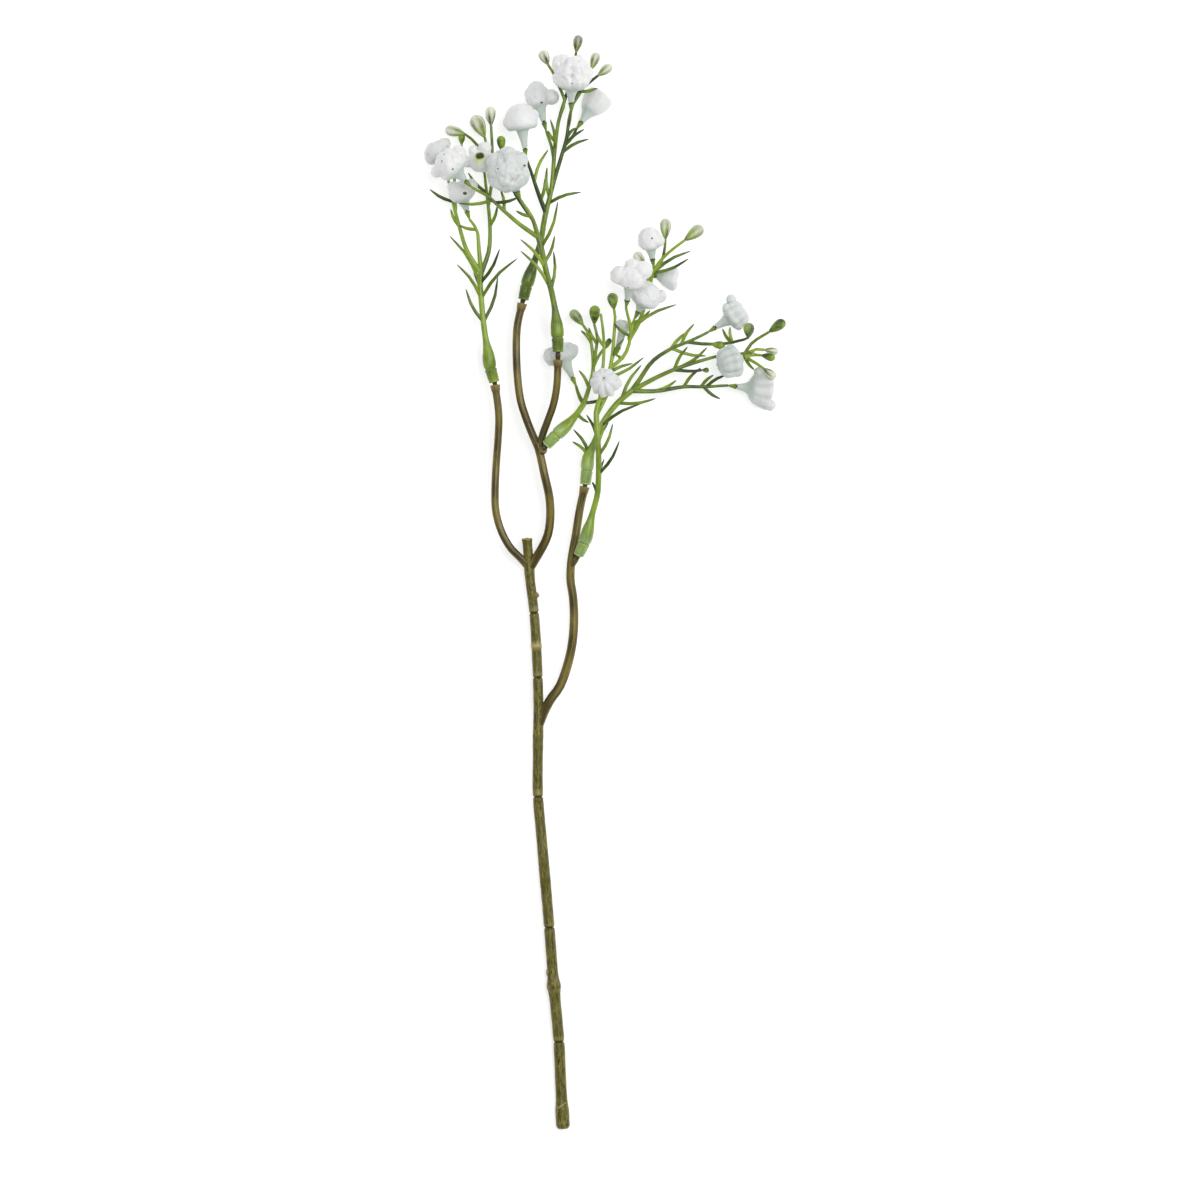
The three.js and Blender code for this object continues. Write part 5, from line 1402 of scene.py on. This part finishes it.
def make_bloom(name, number, look, petals, dark):
    """One white bloom: its tube and head melted into one skin, ruffled, with its pinholes as flat pits of
    painted shade.
    """
    form = bloom_form(name, number, look, petals)
    root, axis = bloom_axis(name)
    facing = Vector((0, 1, 0)).rotation_difference(axis) @ Quaternion((0, 1, 0), number * BLOOM_TURN)
    from_upright = Matrix(((0, 1, 0), (0, 0, 1), (1, 0, 0)))  # lays an upright form along y
    form.data.transform(Matrix.Translation(root) @ (facing.to_matrix() @ from_upright).to_4x4())
    lobes = [ball(lobe[:3], lobe[3]) for lobe in BLOOMS[name].lobes]
    skin = melt([form, *lobes], name, look, petals)
    ruffle(skin, name)
    mark_petals(skin, name)
    pits = [pinhole_on(skin, *hole, dark) for hole in PINHOLES.get(name, [])]
    piece = one_piece([skin, *pits], "white_" + name, name)
    if name in RESTING_BLOOMS:
        rest_on_table(piece)


# Operators


class GYPSOPHILA_OT_main_stem(bpy.types.Operator):
    """Models the bark stem from its cut end to the stub above the fork"""

    bl_idname = "gypsophila.main_stem"
    bl_label = "Main stem"

    def execute(self, context):
        make_main_stem(context.scene.gypsophila_stem)
        return {"FINISHED"}


class GYPSOPHILA_OT_arms(bpy.types.Operator):
    """Models the smooth bent arms with their cups, and the two side knobs"""

    bl_idname = "gypsophila.arms"
    bl_label = "Arms"

    def execute(self, context):
        make_arms(context.scene.gypsophila_stem)
        return {"FINISHED"}


class GYPSOPHILA_OT_wire(bpy.types.Operator):
    """Models the wire that runs through the stem and its arms"""

    bl_idname = "gypsophila.wire"
    bl_label = "Wire"

    def execute(self, context):
        make_wire(context.scene.gypsophila_stem)
        return {"FINISHED"}


class GYPSOPHILA_OT_sprays(bpy.types.Operator):
    """Models the six green sprays with their sockets, twigs, leaves, cups and buds"""

    bl_idname = "gypsophila.sprays"
    bl_label = "Green sprays"

    def execute(self, context):
        look = context.scene.gypsophila_spray
        finishes = {"green": green_finish(look), "bud": bud_finish(look)}
        forms = [calyx_form(finishes["green"]), bud_form(finishes["bud"])]
        for number, spray in enumerate(SPRAYS):
            make_spray(spray, number, look, finishes, forms)
        for form in forms:
            discard(form)
        return {"FINISHED"}


class GYPSOPHILA_OT_blooms(bpy.types.Operator):
    """Models the white blooms with their tubes and ruffled heads"""

    bl_idname = "gypsophila.blooms"
    bl_label = "White blooms"

    def execute(self, context):
        look = context.scene.gypsophila_bloom
        petals, dark = petal_finish(look), pinhole_finish(look)
        for number, name in enumerate(BLOOMS):
            make_bloom(name, number, look, petals, dark)
        return {"FINISHED"}


class GYPSOPHILA_OT_stage(bpy.types.Operator):
    """Sets up the pale table, the soft studio light and the camera that looks straight down"""

    bl_idname = "gypsophila.stage"
    bl_label = "Table, light and camera"

    def execute(self, context):
        look = context.scene.gypsophila_stage
        make_table(look)
        make_light(context.scene)
        make_camera(look, context.scene)
        return {"FINISHED"}


class GYPSOPHILA_PT_panel(bpy.types.Panel):
    """Lists the operators in the sidebar, in the order that they are run"""

    bl_idname = "GYPSOPHILA_PT_panel"
    bl_label = "Gypsophila stem"
    bl_space_type = "VIEW_3D"
    bl_region_type = "UI"
    bl_category = "Gypsophila"

    def draw(self, context):
        for operator in OPERATORS:
            self.layout.operator(operator.bl_idname)


# Table, light and camera

PHOTO_SIZE = (1200, 1203)  # pixels
FORK_PIXEL = (603, 583)  # where the tables' x = 0, y = 0 lies in the photograph
PIXEL = 0.4545 * MM
MIDDLE_HEIGHT = 25 * MM  # height of most of the blooms over the table, where the view is measured
SENSOR = 36.0  # millimetres, Blender's usual
TABLE_WIDTH = 16  # metres, wide enough to fill every view
SKY_STRENGTH = 0.46
LIGHTS = [  # name, place and size in metres, power in watts; all of them face the stem
    ("top light", (0.9, 0.5, 4.4), 1.6, 76),
    ("side light", (2.0, 0.7, 1.5), 0.8, 18),
    ("fill light", (-1.6, 1.2, 2.2), 1.8, 14),
]


def make_table(look):
    """The pale table, which glows a little, as a light table does."""
    deselect()
    bpy.ops.mesh.primitive_plane_add(size=TABLE_WIDTH, location=(0, 0, 0))
    table = bpy.context.object
    table.name = table.data.name = "table"
    finish = Finish("pale table")
    mottle = finish.noise(finish.place(), scale=12, detail=3)
    white = finish.mix(mottle * 0.15, look.floor_grey, look.floor_white)
    connect(finish.surface.inputs["Emission Color"], look.floor_white)
    connect(finish.surface.inputs["Emission Strength"], look.floor_glow)
    table.data.materials.append(finish.paint(white, 0.75 + 0.1 * mottle))


def make_light(scene):
    """An even white sky and three soft lights."""
    world = scene.world or bpy.data.worlds.new("studio")
    scene.world = world
    world.use_nodes = True
    sky = world.node_tree.nodes["Background"]
    sky.inputs["Color"].default_value = (1, 1, 1, 1)
    sky.inputs["Strength"].default_value = SKY_STRENGTH
    for name, place, size, power in LIGHTS:
        deselect()
        bpy.ops.object.light_add(type="AREA", location=place)
        lamp = bpy.context.object
        lamp.name = lamp.data.name = name
        lamp.data.size = size
        lamp.data.energy = power
        lamp.rotation_euler = (-Vector(place)).to_track_quat("-Z", "Y").to_euler()


def make_camera(look, scene):
    """A camera that looks straight down and takes in the stretch of table that the photograph shows."""
    across = (PHOTO_SIZE[0] / 2 - FORK_PIXEL[0]) * PIXEL - OUTLINE_MIDDLE.x * MM
    along = (FORK_PIXEL[1] - PHOTO_SIZE[1] / 2) * PIXEL - OUTLINE_MIDDLE.y * MM
    deselect()
    bpy.ops.object.camera_add(location=(across, along, look.camera_height), rotation=(0, 0, 0))
    camera = bpy.context.object
    camera.name = camera.data.name = "camera"
    camera.data.sensor_width = SENSOR
    camera.data.lens = SENSOR * (look.camera_height - MIDDLE_HEIGHT) / look.seen_length
    camera.data.clip_end = 100  # metres
    scene.camera = camera
    scene.view_settings.view_transform = "Standard"


LOOKS = {
    "gypsophila_stem": StemLook,
    "gypsophila_spray": SprayLook,
    "gypsophila_bloom": BloomLook,
    "gypsophila_stage": StageLook,
}
OPERATORS = (
    GYPSOPHILA_OT_main_stem,
    GYPSOPHILA_OT_arms,
    GYPSOPHILA_OT_wire,
    GYPSOPHILA_OT_sprays,
    GYPSOPHILA_OT_blooms,
    GYPSOPHILA_OT_stage,
)


def register():
    for one in (*LOOKS.values(), *OPERATORS, GYPSOPHILA_PT_panel):
        bpy.utils.register_class(one)
    for name, look in LOOKS.items():
        setattr(bpy.types.Scene, name, PointerProperty(type=look))


def unregister():
    for name in LOOKS:
        delattr(bpy.types.Scene, name)
    for one in (GYPSOPHILA_PT_panel, *OPERATORS, *LOOKS.values()):
        bpy.utils.unregister_class(one)


def main():
    register()
    bpy.ops.gypsophila.main_stem()
    bpy.ops.gypsophila.arms()
    bpy.ops.gypsophila.wire()
    bpy.ops.gypsophila.sprays()
    bpy.ops.gypsophila.blooms()
    bpy.ops.gypsophila.stage()


if __name__ == "__main__":
    main()
